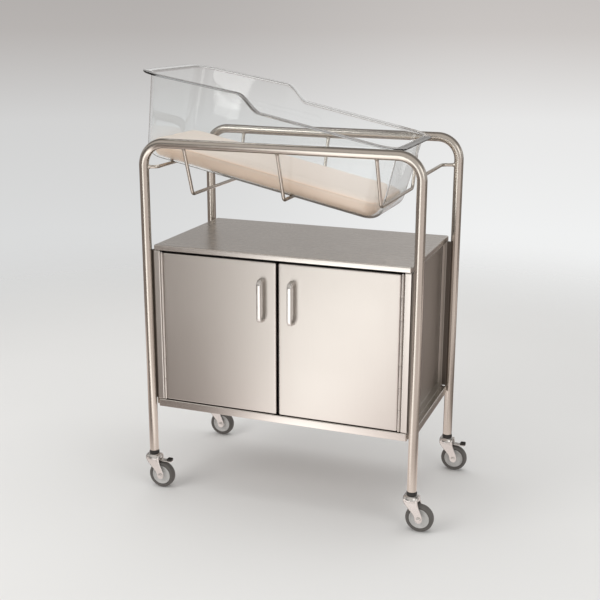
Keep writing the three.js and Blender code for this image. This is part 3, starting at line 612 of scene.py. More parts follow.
# Stations round the tub: down one side from foot to head, close together on the step and with a corner arc at
# each end, then back up the other. stationEnd is 1 on the foot's corners, -1 on the head's and 0 between.
stepSpan = np.linspace(tub["step start"], tub["step start"] + tub["step length"], tub["step stations"] + 1)
headSpan = np.linspace(headU + tub["station inset"], stepSpan[0], tub["head stations"], endpoint=False)
footSpan = np.linspace(footU - tub["station inset"], stepSpan[-1], tub["foot stations"], endpoint=False)
sideU = np.concatenate([footSpan, stepSpan[::-1], headSpan[::-1]])
quarter = np.linspace(0, np.pi / 2, tub["corner steps"] + 1)
onArc, onSide = np.zeros(len(quarter)), np.zeros(len(sideU))
downAngle = np.concatenate([quarter, onSide + np.pi / 2, quarter + np.pi / 2])
downEnd, downU = np.concatenate([onArc + 1, onSide, onArc - 1]), np.concatenate([onArc, sideU, onArc])
stationAngle = np.concatenate([downAngle, 2 * np.pi - downAngle[::-1]])
stationEnd, stationU = np.concatenate([downEnd, downEnd[::-1]]), np.concatenate([downU, downU[::-1]])
stationSide = np.repeat([1, -1], len(downU))


# A rounded outline that reaches past the floor's ends and sides by given distances, one per station
def tubOutline(pastEnd, pastSide, corner):
    edge = np.where(stationEnd > 0, footU + pastEnd, headU - pastEnd)
    u = np.where(stationEnd == 0, stationU, edge - stationEnd * corner + corner * np.cos(stationAngle))
    v = stationSide * (floorHalf + pastSide - corner) + corner * np.sin(stationAngle)
    return u, v


# The outline of the drafted wall at a height, drawn in by an inset
def tubWall(height, inset):
    pastEnd = height * math.tan(tub["end draft"]) - inset
    pastSide = height * math.tan(tub["side draft"]) - inset
    return tubOutline(pastEnd, pastSide, tub["corner"] - inset)


# The rim is level at the head but for a slight fall, and drops to the foot along a smooth step
def rimHeight(u):
    t = np.clip((u - tub["step start"]) / tub["step length"], 0, 1)
    step = tub["head depth"] + (tub["foot depth"] - tub["head depth"]) * t * t * (3 - 2 * t)
    towardsHead = np.clip((tub["step start"] - u) / (tub["step start"] - headU), 0, None)
    return step - tub["rim fall"] * towardsHead


# The tub's skin in rows: outer fillet and wall, under the flange, round its edge, over the rolled rim, and
# down the inner wall to the inner fillet
def makeTub():
    rim = rimHeight(tubWall(tub["foot depth"], 0)[0])
    endDepth = np.where(stationEnd > 0, tub["foot depth"], tub["head depth"])
    flangeEnd = endDepth * math.tan(tub["end draft"]) + tub["flange"]
    flange = columns(*tubOutline(flangeEnd, tub["width"] / 2 - floorHalf, tub["corner"] + tub["flange"]))
    rows = []

    def wallRow(height, inset):
        rows.append(columns(*tubWall(height, inset), height))

    # A row near the rim: out from the wall towards the flange's edge, and down from the rim
    def rimRow(out, drop, fromEdge=False):
        wall = columns(*tubWall(rim - drop, 0))
        away = flange - wall
        reach = np.linalg.norm(away, axis=-1, keepdims=True)
        flat = wall + away / reach * (reach + out if fromEdge else out)
        rows.append(np.column_stack([flat, rim - drop]))

    fillet, wall, thick = tub["floor fillet"], tub["wall"], tub["flange thickness"]
    under, roll, half, inner = tub["under fillet"], tub["rim roll"], thick / 2, fillet - wall
    for cosine, sine in arc(0, 90, tub["fillet steps"]):
        wallRow(fillet * (1 - cosine), fillet * (1 - sine))
    for cosine, sine in arc(0, 90, tub["under steps"]):
        rimRow(under * (1 - cosine), thick + under * (1 - sine))
    for cosine, sine in arc(0, 180, tub["edge steps"]):
        rimRow(half * (sine - 1), half * (1 + cosine), True)
    for cosine, sine in arc(0, 90, tub["roll steps"]):
        rimRow(roll * (1 - sine) - wall, roll * (1 - cosine))
    for cosine, sine in arc(90, 0, tub["fillet steps"]):
        wallRow(wall + inner * (1 - cosine), wall + inner * (1 - sine))
    return skin(fromTub(np.stack(rows)))


makePiece("clear_tub", [makeTub()], "clear_acrylic", "tub")
print("tub made: floor from", round(headU, 4), "to", round(footU, 4), "tilt", round(math.degrees(tilt), 2))


# Pad: a crowned cushion on the tub's floor, swollen by cloth, with a welded bead round its upper edge
pad = {
    "thickness": 0.048, "crown": 0.005, "side gap": 0.003, "draw in": 0.003, "edge round": 0.014,
    "shrink": 0.003, "voxel": 0.005, "pressure": 4.0, "quality": 5, "frames": 20, "most move": 0.005,
    # The blend span sets how far down the rounded edge the painted sheen of the top reaches
    "sheen blend": 1.3, "bead": 0.0014, "bead sides": 10, "bead angle": 0.9, "bead smoothing": 6,
    "round steps": 7, "top rings": (0.92, 0.04, 12),
}
padFloor = tub["wall"] + seatGap
padTop = padFloor + pad["thickness"]
padMiddle, padHalf = (headU + footU) / 2, (footU - headU) / 2


# One row of the pad: the tub's outline drawn in, with its long sides pulled in between the corners
def padRow(height, drawIn):
    u, v = tubWall(height, tub["wall"] + pad["side gap"] + drawIn)
    along = (u - padMiddle) / padHalf
    v = v * (1 - pad["draw in"] * np.clip(1 - along ** 2, 0, None) / floorHalf)
    return columns(u, v, height)


# The pad's skin in rows: up over the floor's fillet, round the upper edge and in over a top whose crown is
# fullest in the middle
def padRows(shrink):
    low, edge = tub["floor fillet"] - tub["wall"], pad["edge round"]
    quarter = arc(0, 90, pad["round steps"])
    rows = [padRow(padFloor + low * (1 - cosine), shrink + low * (1 - sine)) for cosine, sine in quarter]
    for cosine, sine in quarter:
        rows.append(padRow(padTop - shrink - edge * (1 - sine), shrink + edge * (1 - cosine)))
    outer = rows[-1][:, :2] - [padMiddle, 0]
    for share in np.linspace(*pad["top rings"]):
        along, across = (outer * share / [padHalf, floorHalf]).T
        rise = pad["crown"] * np.clip(1 - along ** 2, 0, None) * np.clip(1 - across ** 2, 0, None)
        rows.append(np.column_stack([outer * share + [padMiddle, 0], padTop - shrink + rise]))
    return np.stack(rows)


def readPoints(mesh):
    flat = np.empty(len(mesh.vertices) * 3)
    mesh.vertices.foreach_get("co", flat)
    return flat.reshape(-1, 3)


# Swells the pad by air pressure with no gravity, then limits each point's move and keeps the underside flat
def swell(piece):
    bpy.context.view_layer.objects.active = piece
    piece.data.remesh_voxel_size = pad["voxel"]
    bpy.ops.object.voxel_remesh()
    before = readPoints(piece.data)
    cloth = piece.modifiers.new("air", "CLOTH")
    cloth.settings.use_pressure = True
    cloth.settings.uniform_pressure_force = pad["pressure"]
    cloth.settings.effector_weights.gravity = 0
    cloth.settings.quality = pad["quality"]
    for step in range(1, pad["frames"] + 1):
        scene.frame_set(step)
    swollen = piece.evaluated_get(bpy.context.evaluated_depsgraph_get())
    move = readPoints(swollen.data) - before
    piece.modifiers.clear()
    scene.frame_set(1)
    length = np.linalg.norm(move, axis=1, keepdims=True)
    limited = before + move * np.minimum(1, pad["most move"] / np.maximum(length, 1e-9))
    above = (limited - tubOrigin) @ tubUp
    limited += np.clip(padFloor - above, 0, None)[:, None] * tubUp
    piece.data.vertices.foreach_set("co", limited.ravel())
    piece.data.update()


mattress = assemble("mattress", [skin(fromTub(padRows(pad["shrink"])))])
bpy.ops.object.select_all(action="DESELECT")
mattress.select_set(True)
swell(mattress)
mattress.data.shade_smooth()
finer = mattress.modifiers.new("finer", "SUBSURF")
finer.levels = finer.render_levels = 1
# Where the top gets its painted sheen: 0 on the sides, rising to 1 within the welded edge
rise = (readPoints(mattress.data) - tubOrigin) @ tubUp - padTop
panel = np.clip(1 + rise / (pad["sheen blend"] * pad["edge round"]), 0, 1)
mattress.data.attributes.new("topPanel", "FLOAT", "POINT").data.foreach_set("value", panel)
dress(mattress, "pad_cover", "mattress_pad")


# The welded bead: the pad's upper edge laid onto the swollen pad and evened out, with a ring at each point
def makeBead():
    edge, turn = pad["edge round"], pad["bead angle"]
    height = padTop - pad["shrink"] - edge * (1 - math.sin(turn))
    guide = fromTub(padRow(height, pad["shrink"] + edge * (1 - math.cos(turn))))
    laid = np.array([mattress.closest_point_on_mesh(point)[1:3] for point in guide])
    for _ in range(pad["bead smoothing"]):
        laid = 0.5 * laid + 0.25 * (np.roll(laid, 1, axis=0) + np.roll(laid, -1, axis=0))
    path, out = laid[:, 0], laid[:, 1]
    along = np.roll(path, -1, axis=0) - np.roll(path, 1, axis=0)
    beside = unit(np.cross(along, out))
    out = unit(np.cross(beside, along))
    ring = pad["bead"] * circle(pad["bead sides"])
    rings = path[:, None] + ring[None, :, :1] * out[:, None] + ring[None, :, 1:] * beside[:, None]
    return skin(np.concatenate([rings, rings[:1]]), capped=False)


dress(assemble("mattress_bead", [makeBead()]), "pad_cover", "mattress_pad", stands=False)
print("pad made:", len(mattress.data.vertices), "points")


# Cabinet: folded trays with rounded bends, recessed side pans joined to the legs by full-height strips
sheetMetal = {
    "sheet": 0.0015, "bend": 0.003, "corner": 0.004, "floor leg gap": 0.005, "strip setback": 0.005,
    "strip depth": 0.012, "strip overlap": 0.006, "strip edge": 0.001, "web inset": 0.0008,
    # The strip and web values below are painted shade, darkening them in the grooves beside the legs
    "web in tube": 0.6, "strip painted shade": -0.4, "web painted shade": -1.0,
}


# A tray that fills a node's box: outer face at one end of an axis, its lips running back from there
def makeTray(name, node, axes, outerHigh, finish, bite=None):
    low, high, middle = boxOf(node)
    axis = axes[2]
    middle[axis] = high[axis] if outerHigh else low[axis]
    way = -1 if outerHigh else 1
    profile, wornAndShaded = trayProfile(high[axis] - low[axis], sheetMetal["sheet"], sheetMetal["bend"], way)
    outline = outlineOf(halfOf(node)[list(axes[:2])], sheetMetal["corner"], bite)
    makeSheetPiece(name, [skin(loopStack(middle, outline, profile, axes), wear=wornAndShaded)], finish, node)


# The floor reaches further out between the legs, so its corners are cut away round them
floorHigh = boxOf("cabinet_floor")[1]
floorBite = (floorHigh[0] - topHigh[0], floorHigh[1] - rearY + tubeRadius + sheetMetal["floor leg gap"])
makeTray("cabinet_top_sheet", "cabinet_top", (0, 1, 2), True, "satin_steel")
makeTray("cabinet_floor_sheet", "cabinet_floor", (0, 1, 2), True, "satin_steel", floorBite)
makeTray("cabinet_back_sheet", "cabinet_back", (0, 2, 1), True, "satin_steel_upright")


# A side pan: its sheet faces the inside and its lips run out to the cabinet's edge. Inside the front and rear
# lips a strip of full height closes the edge and a web runs from it into the leg.
def makeSidePan(name, node, side, edgeX, legX):
    low, high, middle = boxOf(node)
    middle[0] = low[0] if side > 0 else high[0]
    profile, wornAndShaded = trayProfile(abs(edgeX - middle[0]), sheetMetal["sheet"], sheetMetal["bend"], side)
    outline = outlineOf(halfOf(node)[1:], sheetMetal["corner"])
    skins = [skin(loopStack(middle, outline, profile, (1, 2, 0)), wear=wornAndShaded)]
    startX, inset = edgeX - side * sheetMetal["strip overlap"], sheetMetal["web inset"]
    for end, lipY in ((-1, low[1]), (1, high[1])):
        outerY = lipY - end * sheetMetal["strip setback"]
        innerY = outerY - end * sheetMetal["strip depth"]
        stripY = sorted((innerY, lipY - end * sheetMetal["sheet"] / 2))
        strip = (sorted((startX, edgeX)), stripY, (low[2], high[2]))
        webX = sorted((startX + 2 * side * inset, legX - side * tubeRadius * sheetMetal["web in tube"]))
        web = (webX, sorted((innerY + end * inset, outerY - end * inset)), (low[2] + inset, high[2] - inset))
        # Painted shade darkens the strips partly and the webs fully, as shade in the groove beside the leg
        skins.append(roundedBlock(*zip(*strip), sheetMetal["strip edge"], wear=sheetMetal["strip painted shade"]))
        skins.append(roundedBlock(*zip(*web), sheetMetal["strip edge"], wear=sheetMetal["web painted shade"]))
    makeSheetPiece(name, skins, "satin_steel_upright", node)


makeSidePan("left_side_pan", "left_side_panel", -1, topLow[0], legX0)
makeSidePan("right_side_pan", "right_side_panel", 1, topHigh[0], legX1)
for node in ("cabinet_shelf", "left_shelf_rail", "right_shelf_rail"):
    refinish(node, "satin_steel")
print("cabinet made")


# Doors: a folded skin, a bow handle and a continuous hinge
handle = {
    "bar": 0.008, "width": 0.012, "bend": 0.011, "edge": 0.0025, "foot spread": 1.22, "foot length": 0.004,
    "foot rows": 5, "bend steps": 12,
}
hinge = {
    "knuckles": 7, "leaf": 0.0012, "tab": 0.0036, "edge": 0.0004, "end gap": 0.0005, "bore share": 0.6,
    "pin": 0.0015, "pin head": 0.0015, "sides": 28, "pin sides": 24,
}


# A bow handle: a rounded flat bar that leaves the door, turns along it and comes back, with flared feet
def makeHandle(side):
    node = f"{side}_door_handle"
    low, high, (x, _, _) = boxOf(node)
    half = handle["bar"] / 2
    face, out, z0, z1 = high[1] + seatGap, low[1] + half, low[2] + half, high[2] - half
    corners = [(x, face, z0), (x, out, z0), (x, out, z1), (x, face, z1)]
    section = roundedLoop((handle["width"] / 2, half), handle["edge"])
    t = np.linspace(0, 1, handle["foot rows"])
    foot = columns(t * handle["foot length"], 1 + (handle["foot spread"] - 1) * (1 - t) ** 2)
    path = bentPath(corners, handle["bend"], handle["bend steps"])
    makePiece(f"{side}_bow_handle", [swept(path, (1, 0, 0), section, foot, foot)], "bright_steel", node)


# A hinge leaf: a strip along the edge, with every second knuckle rolled round the pin
def makeLeaf(side, part, way, firstKnuckle):
    node = f"{side}_hinge_{part}_leaf"
    _, pinHigh, (axisX, axisY, _) = boxOf(f"{side}_hinge_pin")
    low, high, _ = boxOf(node)
    radius, bore = axisY - low[1], (pinHigh[0] - axisX) * hinge["bore share"]
    pitch, gap, edge = (high[2] - low[2]) / hinge["knuckles"], hinge["end gap"] / 2, hinge["edge"]
    x0, x1 = sorted((axisX + way * radius, axisX + way * (radius - hinge["leaf"])))
    skins = [roundedBlock((x0, axisY + hinge["tab"], low[2]), (x1, high[1], high[2]), edge)]
    for k in range(firstKnuckle, hinge["knuckles"], 2):
        z0, z1 = low[2] + k * pitch + gap, low[2] + (k + 1) * pitch - gap
        ring = [(bore, z0), (radius, z0), (radius, z1), (bore, z1)]
        skins.append(turned(ring, (axisX, axisY, 0), 2, hinge["sides"], edge, closed=True))
        skins.append(roundedBlock((x0, axisY, z0), (x1, axisY + 2 * hinge["tab"], z1), edge))
    makePiece(f"{side}_{part}_hinge_leaf", skins, "satin_steel_upright", node)


def makePin(side):
    node = f"{side}_hinge_pin"
    low, high, middle = boxOf(node)
    head, neckZ, radius = halfOf(node)[0], high[2] - hinge["pin head"], hinge["pin"]
    profile = [(0, low[2]), (radius, low[2]), (radius, neckZ), (head, neckZ), (head, high[2]), (0, high[2])]
    pin = turned(profile, middle * [1, 1, 0], 2, hinge["pin sides"], hinge["edge"])
    makePiece(f"{side}_pin", [pin], "bright_steel", node)


for side, way in (("left", -1), ("right", 1)):
    makeTray(f"{side}_door_sheet", f"{side}_door_skin", (0, 2, 1), False, "satin_steel_upright")
    makeHandle(side)
    makeLeaf(side, "fixed", way, 0)
    makeLeaf(side, "door", -way, 1)
    makePin(side)
    refinish(f"{side}_door_liner", "satin_steel_upright")
    refinish(f"{side}_door_strike", "bright_steel")
    refinish(f"{side}_door_catch", "black_plastic")
print("doors made")


# Casters: collar, pressed fork, axle, hub and tyre. Half profiles, from the middle out: the axle's head as
# shares of its radius and depths below its face, the hub's web as radii and half widths, its rim and the
# tyre's tread as depths below the outside and half widths, the sidewall as depths and insets.
caster = {
    "ends": ("front_left", "front_right", "rear_left", "rear_right"), "sides": 64, "tyre sides": 96,
    "rivet": 0.008, "king pin": 0.005, "collar edge": 0.0015, "collar step": 0.0008, "collar top": 0.004,
    "step top": 0.0035, "plug": 0.028, "fork sheet": 0.0025, "fork inner": 0.0135, "crown": 0.021,
    "crown flat": 0.010, "crown drop": 0.015, "shoulder": 0.019, "boss": 0.010, "fork bend": 0.007,
    "boss steps": 11, "leg rows": (0.06, 1, 16), "bend steps": 7, "fork columns": 9, "crown steps": 13,
    "axle": 0.004, "axle edge": 0.0006,
    "axle head": [(0, 0), (0.5, 0), (0.72, 0.0006), (0.74, 0.0022), (1, 0.0022), (1, 0.004)],
    "hub bore": 0.0045, "hub boss": 0.009, "hub edge": 0.0012,
    "hub web": [(0.0098, 0.0062), (0.013, 0.0055), (0.0195, 0.0055)],
    "hub rim": [(0.0038, 0.0064), (0.003, 0.0088), (0, 0.0088)], "tyre edge": 0.0009,
    "tread": [(0, 0), (0.0001, 0.0045), (0.0004, 0.0062), (0.0014, 0.0084), (0.0034, 0.0102)],
    "sidewall": [(0.0056, 0), (0.0068, 0.0007), (0.008, 0.0004), (0.0094, 0.0012), (0.01, 0.002)],
}


# The fork's legs as one arch: u runs up one leg, over the crown and down the other, v from front to back.
# Its width follows the shoulder, narrows to the axle boss and ends in a half round.
def forkArch(stemX, y, axleX, axleZ, crownTop):
    half = caster["fork inner"] + caster["fork sheet"] / 2
    roof = crownTop - caster["fork sheet"] * 1.5  # the arch lies under the crown's own sheet
    bend, boss = caster["fork bend"], caster["boss"]
    drop = roof - bend - axleZ
    bossZ = axleZ - boss * arc(0, 90, caster["boss steps"])[:, 0]
    legZ = np.concatenate([bossZ, axleZ + drop * np.linspace(*caster["leg rows"])])
    cosine, sine = arc(0, 90, caster["bend steps"])[1:].T
    archY = np.concatenate([np.full(len(legZ), -half), -half + bend * (1 - cosine)])
    archZ = np.concatenate([legZ, roof - bend + bend * sine])
    lift = np.clip((archZ - axleZ) / drop, 0, 1)
    ease = lift * lift * (3 - 2 * lift)
    halfRound = np.sqrt(np.clip(boss ** 2 - np.clip(axleZ - archZ, 0, None) ** 2, 1e-9, None))
    width = np.where(archZ < axleZ, halfRound, boss + (caster["shoulder"] - boss) * ease)
    line = columns(axleX + (stemX - axleX) * ease, archY, archZ, width)
    u, archY, archZ, width = np.concatenate([line, line[::-1] * [1, -1, 1, 1]]).T[..., None]
    return columns(u + np.linspace(-1, 1, caster["fork columns"]) * width, y + archY, archZ)


# A sheet given thickness: one face each way along its own normal, joined round the edge as a closed loop
def thickened(sheet, thickness):
    normal = unit(np.cross(np.gradient(sheet, axis=0), np.gradient(sheet, axis=1)))
    upper, lower = sheet + normal * thickness / 2, sheet - normal * thickness / 2
    return skin(np.concatenate([upper, lower[:, ::-1]], axis=1))


# The pressed dome of the fork's crown: an outer and an inner quarter ellipse round the king pin's hole
def crownDome(crownTop):
    flat, rim, drop, sheet = (caster[key] for key in ("crown flat", "crown", "crown drop", "fork sheet"))
    cosine, sine = arc(0, 90, caster["crown steps"]).T
    outer = columns(flat + (rim - flat) * sine, crownTop - drop * (1 - cosine))
    inner = columns(flat + (rim - sheet - flat) * sine, crownTop - sheet - (drop - sheet) * (1 - cosine))
    hole = caster["king pin"] + seatGap
    return np.concatenate([[[hole, crownTop - sheet]], inner, outer[::-1], [[hole, crownTop]]])


# A half profile and its mirror image
def bothSides(side):
    return side + [(radius, -height) for radius, height in side[::-1]]


def makeCaster(end):
    stemLow, _, (stemX, stemY, _) = boxOf(f"{end}_caster_stem")
    axleX, _, axleZ = boxOf(f"{end}_caster_axle")[2]
    sides, onStem, onAxle = caster["sides"], (stemX, stemY, 0), (axleX, stemY, axleZ)
    crownTop, legEnd = boxOf(f"{end}_caster_fork")[1][2], boxOf("front_frame_tube")[0][2]

    collar, rivet, kingPin = halfOf(f"{end}_caster_stem")[0], caster["rivet"], caster["king pin"]
    step, plug = collar - caster["collar step"], tubeRadius - frameTube["wall"] - seatGap
    rivetZ, plugZ = crownTop - caster["fork sheet"] - seatGap, legEnd + caster["plug"]
    stemProfile = [
        (0, stemLow[2]), (rivet, stemLow[2]), (rivet, rivetZ), (kingPin, rivetZ),
        (kingPin, crownTop + seatGap), (collar, crownTop + seatGap), (collar, legEnd - caster["collar top"]),
        (step, legEnd - caster["step top"]), (step, legEnd - seatGap), (plug, legEnd - seatGap),
        (plug, plugZ), (0, plugZ),
    ]
    stem = turned(stemProfile, onStem, 2, sides, caster["collar edge"])
    makePiece(f"{end}_collar", [stem], "black_plastic", f"{end}_caster_stem")

    dome = turned(crownDome(crownTop), onStem, 2, sides, closed=True)
    arch = thickened(forkArch(stemX, stemY, axleX, axleZ, crownTop), caster["fork sheet"])
    makePiece(f"{end}_fork", [dome, arch], "bright_steel", f"{end}_caster_fork")

    head, half, _ = halfOf(f"{end}_caster_axle")
    axleSide = [(head * share, half - depth) for share, depth in caster["axle head"]]
    axleSide.append((caster["axle"], axleSide[-1][1]))
    axle = turned(bothSides(axleSide), onAxle, 1, sides, caster["axle edge"])
    makePiece(f"{end}_axle", [axle], "bright_steel", f"{end}_caster_axle")

    _, bossHalf, hubRadius = halfOf(f"{end}_wheel_hub")
    hubSide = [(caster["hub bore"], bossHalf), (caster["hub boss"], bossHalf), *caster["hub web"]]
    hubSide += [(hubRadius - depth, y) for depth, y in caster["hub rim"]]
    hub = turned(bothSides(hubSide), onAxle, 1, sides, caster["hub edge"], closed=True)
    makePiece(f"{end}_hub", [hub], "hub_plastic", f"{end}_wheel_hub")

    wheelRadius, tyreHalf = axleZ - cadLow[2], halfOf(f"{end}_wheel_tyre")[1]
    tyreSide = [(wheelRadius - depth, y) for depth, y in caster["tread"]]
    tyreSide += [(wheelRadius - depth, tyreHalf - inset) for depth, inset in caster["sidewall"]]
    tyreProfile = tyreSide[::-1] + [(radius, -y) for radius, y in tyreSide[1:]]
    tyre = turned(tyreProfile, onAxle, 1, caster["tyre sides"], caster["tyre edge"], closed=True)
    makePiece(f"{end}_tyre", [tyre], "tyre_rubber", f"{end}_wheel_tyre")


for end in caster["ends"]:
    makeCaster(end)

# Brakes on one diagonal: a lever on a pin through the fork, and a ribbed foot pad on its free end
brake = {
    "ends": ("front_left", "rear_right"), "arm": 0.0025, "arm edge": 0.0008, "corner": 0.004, "eye": 0.0045,
    "eye sides": 32, "pin": 0.0025, "pin edge": 0.0006, "pin sides": 24, "width": 0.017, "edge": 0.0012,
    "ribs": 5, "rib": 0.0011, "rib half": 0.28, "rib inset": 0.002, "rib root": 0.001, "rib edge": 0.0006,
}


def makeBrake(end):
    low, high, (_, y, _) = boxOf(f"{end}_brake_lever")
    pinX, pinZ = low[0] + brake["eye"], high[2] - brake["eye"]
    wide, reach = brake["width"] / 2, halfOf(f"{end}_brake_lever")[1]

    def drum(radius, half, sides, edge):
        profile = [(0, -half), (radius, -half), (radius, half), (0, half)]
        return turned(profile, (pinX, y, pinZ), 1, sides, edge)

    armHigh = (high[0], y + wide, pinZ + brake["arm"])
    arm = roundedBlock((pinX, y - wide, pinZ), armHigh, brake["arm edge"], brake["corner"])
    eye = drum(brake["eye"], wide, brake["eye sides"], brake["arm edge"])
    pin = drum(brake["pin"], reach, brake["pin sides"], brake["pin edge"])
    makePiece(f"{end}_lever", [arm, eye, pin], "bright_steel", f"{end}_brake_lever")

    low, high, _ = boxOf(f"{end}_brake_pad")
    top = high[2] - brake["rib"]
    skins = [roundedBlock(low, (high[0], high[1], top), brake["edge"], brake["corner"])]
    pitch = (high[0] - low[0]) / (brake["ribs"] + 1)
    ribHalf, inset = pitch * brake["rib half"], brake["rib inset"]
    for x in low[0] + pitch * np.arange(1, brake["ribs"] + 1):
        ribLow = (x - ribHalf, low[1] + inset, top - brake["rib root"])
        skins.append(roundedBlock(ribLow, (x + ribHalf, high[1] - inset, high[2]), brake["rib edge"]))
    makePiece(f"{end}_foot_pad", skins, "black_plastic", f"{end}_brake_pad")


for end in brake["ends"]:
    makeBrake(end)
print("casters made")


# Stage: a pale floor that runs into the backdrop, soft lamps and the photograph's camera. In reflections the
# floor is dim but for a slanting band in front, which dims again towards its right, soft patches on the other
# sides and a strip close in front. Pairs are where a change starts and ends.
stage = {
    "floor half": 14.0, "floor light": (0.79, 0.787, 0.78, 1), "floor dark": (0.75, 0.747, 0.74, 1),
    "mottle": (1.2, 2.0, 0.5), "fade": (1.5, 3.4), "glow": 2.15,
    "glow tones": [(0.0, (0.115, 0.098, 0.089, 1)), (0.25, (0.321, 0.283, 0.268, 1)),
                   (0.65, (0.683, 0.63, 0.612, 1)), (1.0, (1.0, 0.995, 0.976, 1))],
    "band depth": (-0.2, -0.75), "band slant": 0.425, "band edge": (-0.2, 0.2), "band least": 0.02,
    "band right": (0.36, -0.3), "band right least": 0.32,
    "patches": [((1.9, -0.2, 0), 0.4), ((2.1, 1.2, 0), 0.5), ((-1.55, -0.1, 0), 0.42), ((-0.5, 1.8, 0), 0.5)],
    "patch reach": (1.0, 0.1), "strip": 0.36, "strip front": (-0.65, -0.45), "strip back": (0.45, 0.25),
    "strip reach": (1.0, 0.6),
    "camera": (0.9711, -2.6218, 1.3079), "yaw": 0.358829, "pitch": 0.270875, "roll": 0.0026,
    "focal pixels": 1050.62, "image": 600, "axis drop": 1.0, "sensor": 36.0,
}
half, floorZ = stage["floor half"], cadLow[2]
floorMesh = bpy.data.meshes.new("floor")
floorCorners = [(-half, -half, floorZ), (half, -half, floorZ), (half, half, floorZ), (-half, half, floorZ)]
floorMesh.from_pydata(floorCorners, [], [(0, 1, 2, 3)])
floor = bpy.data.objects.new("floor", floorMesh)
scene.collection.objects.link(floor)
floorMaterial, board = newFinish("pale floor", {"Roughness": 0.85, "Specular IOR Level": 0.2})
mottle = board.noise(*stage["mottle"])
plain = board.paint({"Base Color": board.blend(mottle, stage["floor dark"], stage["floor light"])})
spot = board.node("TexCoord", {}, {}, "Object")
acrossFloor, deepFloor = board.axis(spot, "X"), board.axis(spot, "Y")
farOff = board.node("VectorMath", {"operation": "LENGTH"}, {0: spot}, "Value")


# A smooth change from a least value to 1
def risen(value, span, least):
    return least + (1 - least) * board.smooth(value, *span)


slant = acrossFloor - stage["band slant"] * deepFloor
band = board.smooth(deepFloor, *stage["band depth"]) * risen(slant, stage["band edge"], stage["band least"])
lit = band * risen(acrossFloor, stage["band right"], stage["band right least"])
for place, share in stage["patches"]:
    away = board.node("VectorMath", {"operation": "DISTANCE"}, {0: spot, 1: place}, "Value")
    lit = lit + share * board.smooth(away, *stage["patch reach"])
near = board.smooth(deepFloor, *stage["strip front"]) * board.smooth(deepFloor, *stage["strip back"])
lit = lit + stage["strip"] * near * board.smooth(farOff, *stage["strip reach"])
tones = board.node("ValToRGB", {"stops": stage["glow tones"]}, {"Fac": lit})
glow = board.node("Emission", {}, {"Color": tones, "Strength": stage["glow"]})
mirrored = board.either(board.mirrorRay(), plain, glow)
gone = board.node("BsdfTransparent", {}, {})
fade = board.smooth(farOff, *stage["fade"]) * (board.ray("Camera") + board.ray("Transmission"))
board.show(board.either(fade, mirrored, gone))
floorMesh.materials.append(floorMaterial)

# Soft rectangular lamps: place, aim, size, power, colour, and whether metal mirrors them
lamps = {
    "key": ((-2.0, -2.5, 2.6), (0, 0, 0.5), (1.8, 1.5), 32.0, (1.0, 0.99, 0.97), False),
    "overhead": ((0.1, 0.3, 3.1), (0, 0, 0), (3.0, 2.4), 28.0, (1.0, 0.995, 0.985), False),
    "fill": ((2.8, -1.8, 1.8), (0, 0, 0.6), (1.4, 1.8), 9.0, (1.0, 0.99, 0.97), True),
}
for name, (place, aim, size, power, colour, seen) in lamps.items():
    lamp = bpy.data.lights.new(name, "AREA")
    lamp.shape, lamp.size, lamp.size_y = "RECTANGLE", *size
    lamp.energy, lamp.color = power, colour
    light = bpy.data.objects.new(name, lamp)
    facing = (Vector(aim) - Vector(place)).to_track_quat("-Z", "Y").to_matrix().to_4x4()
    light.matrix_world = Matrix.Translation(place) @ facing
    light.visible_glossy = seen
    scene.collection.objects.link(light)

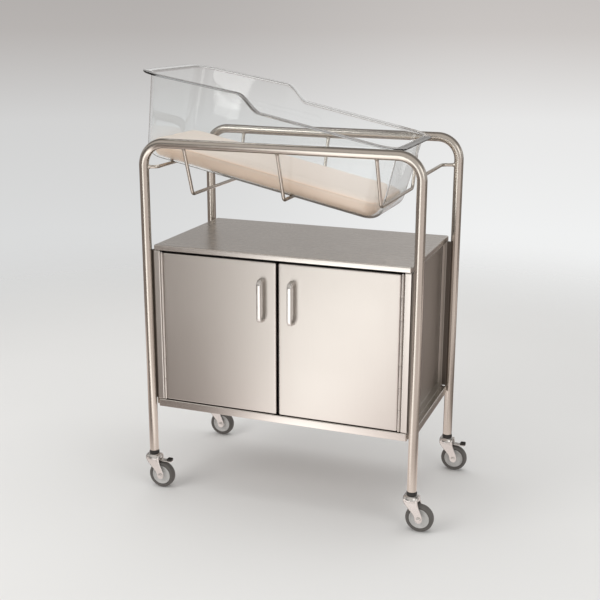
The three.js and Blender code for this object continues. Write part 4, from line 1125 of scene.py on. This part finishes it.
# The backdrop by height of view: pale down to the floor, greyer at the horizon, a pale band above it and dim
# overhead. It brightens towards the right. Reflections find it dimmer low in front at the left, and an even
# pale wall higher up in front. The first tone's height is where the ramp starts.
studio = {
    "tones": [
        (-0.4, (0.72, 0.72, 0.715)), (-0.2, (0.78, 0.786, 0.786)), (-0.1, (0.72, 0.718, 0.714)),
        (-0.02, (0.53, 0.505, 0.49)), (0.12, (0.4, 0.38, 0.37)), (0.19, (0.42, 0.4, 0.39)),
        (0.24, (0.85, 0.83, 0.81)), (0.28, (0.8, 0.78, 0.76)), (0.34, (0.3, 0.28, 0.27)),
        (0.6, (0.22, 0.205, 0.195)),
    ],
    "left": 0.9, "right gain": 0.22, "right": (-0.5, -0.16), "dimming": 0.6, "dim front": (0.1, -0.5),
    "dim left": (-0.25, -0.55), "wall": (0.66, 0.62, 0.585, 1), "wall front": (0.0, -0.35),
    "wall height": (0.26, 0.4), "light": (0.72, 0.717, 0.71, 1),
}
world = bpy.data.worlds.new("studio")
world.use_nodes = True
scene.world = world
board = Board(world.node_tree)
direction = board.node("TexCoord", {}, {}, "Generated")
sideways, ahead, height = (board.axis(direction, name) for name in "XYZ")
lowest = studio["tones"][0][0]
stops = [(at - lowest, (*colour, 1)) for at, colour in studio["tones"]]
paper = board.node("ValToRGB", {"stops": stops}, {"Fac": height - lowest})
shown = board.ray("Camera") + board.ray("Glossy") + board.ray("Transmission")
mirrors = board.mirrorRay()
frontLeft = board.smooth(ahead, *studio["dim front"]) * board.smooth(sideways, *studio["dim left"])
graded = studio["left"] + studio["right gain"] * board.smooth(sideways, *studio["right"])
graded = graded * (1 - studio["dimming"] * mirrors * frontLeft)
wall = mirrors * board.smooth(ahead, *studio["wall front"]) * board.smooth(height, *studio["wall height"])
paper = board.node("VectorMath", {"operation": "SCALE"}, {0: paper, "Scale": graded})
paper = board.blend(wall, paper, studio["wall"])
background = world.node_tree.nodes["Background"]
board.feed(background.inputs["Color"], board.blend(shown, studio["light"], paper))

cameraData = bpy.data.cameras.new("photo camera")
cameraData.sensor_width = stage["sensor"]
cameraData.lens = stage["focal pixels"] / stage["image"] * stage["sensor"]
cameraData.shift_y = -stage["axis drop"] / stage["image"]
camera = bpy.data.objects.new("photo camera", cameraData)
turn = Matrix.Rotation(stage["yaw"], 4, "Z") @ Matrix.Rotation(math.pi / 2 - stage["pitch"], 4, "X")
turn = turn @ Matrix.Rotation(stage["roll"], 4, "Z")
camera.matrix_world = Matrix.Translation(Vector(stage["camera"]) + Vector(centre)) @ turn
scene.collection.objects.link(camera)
scene.camera = camera
scene.view_settings.view_transform = "Standard"
print("stage set")
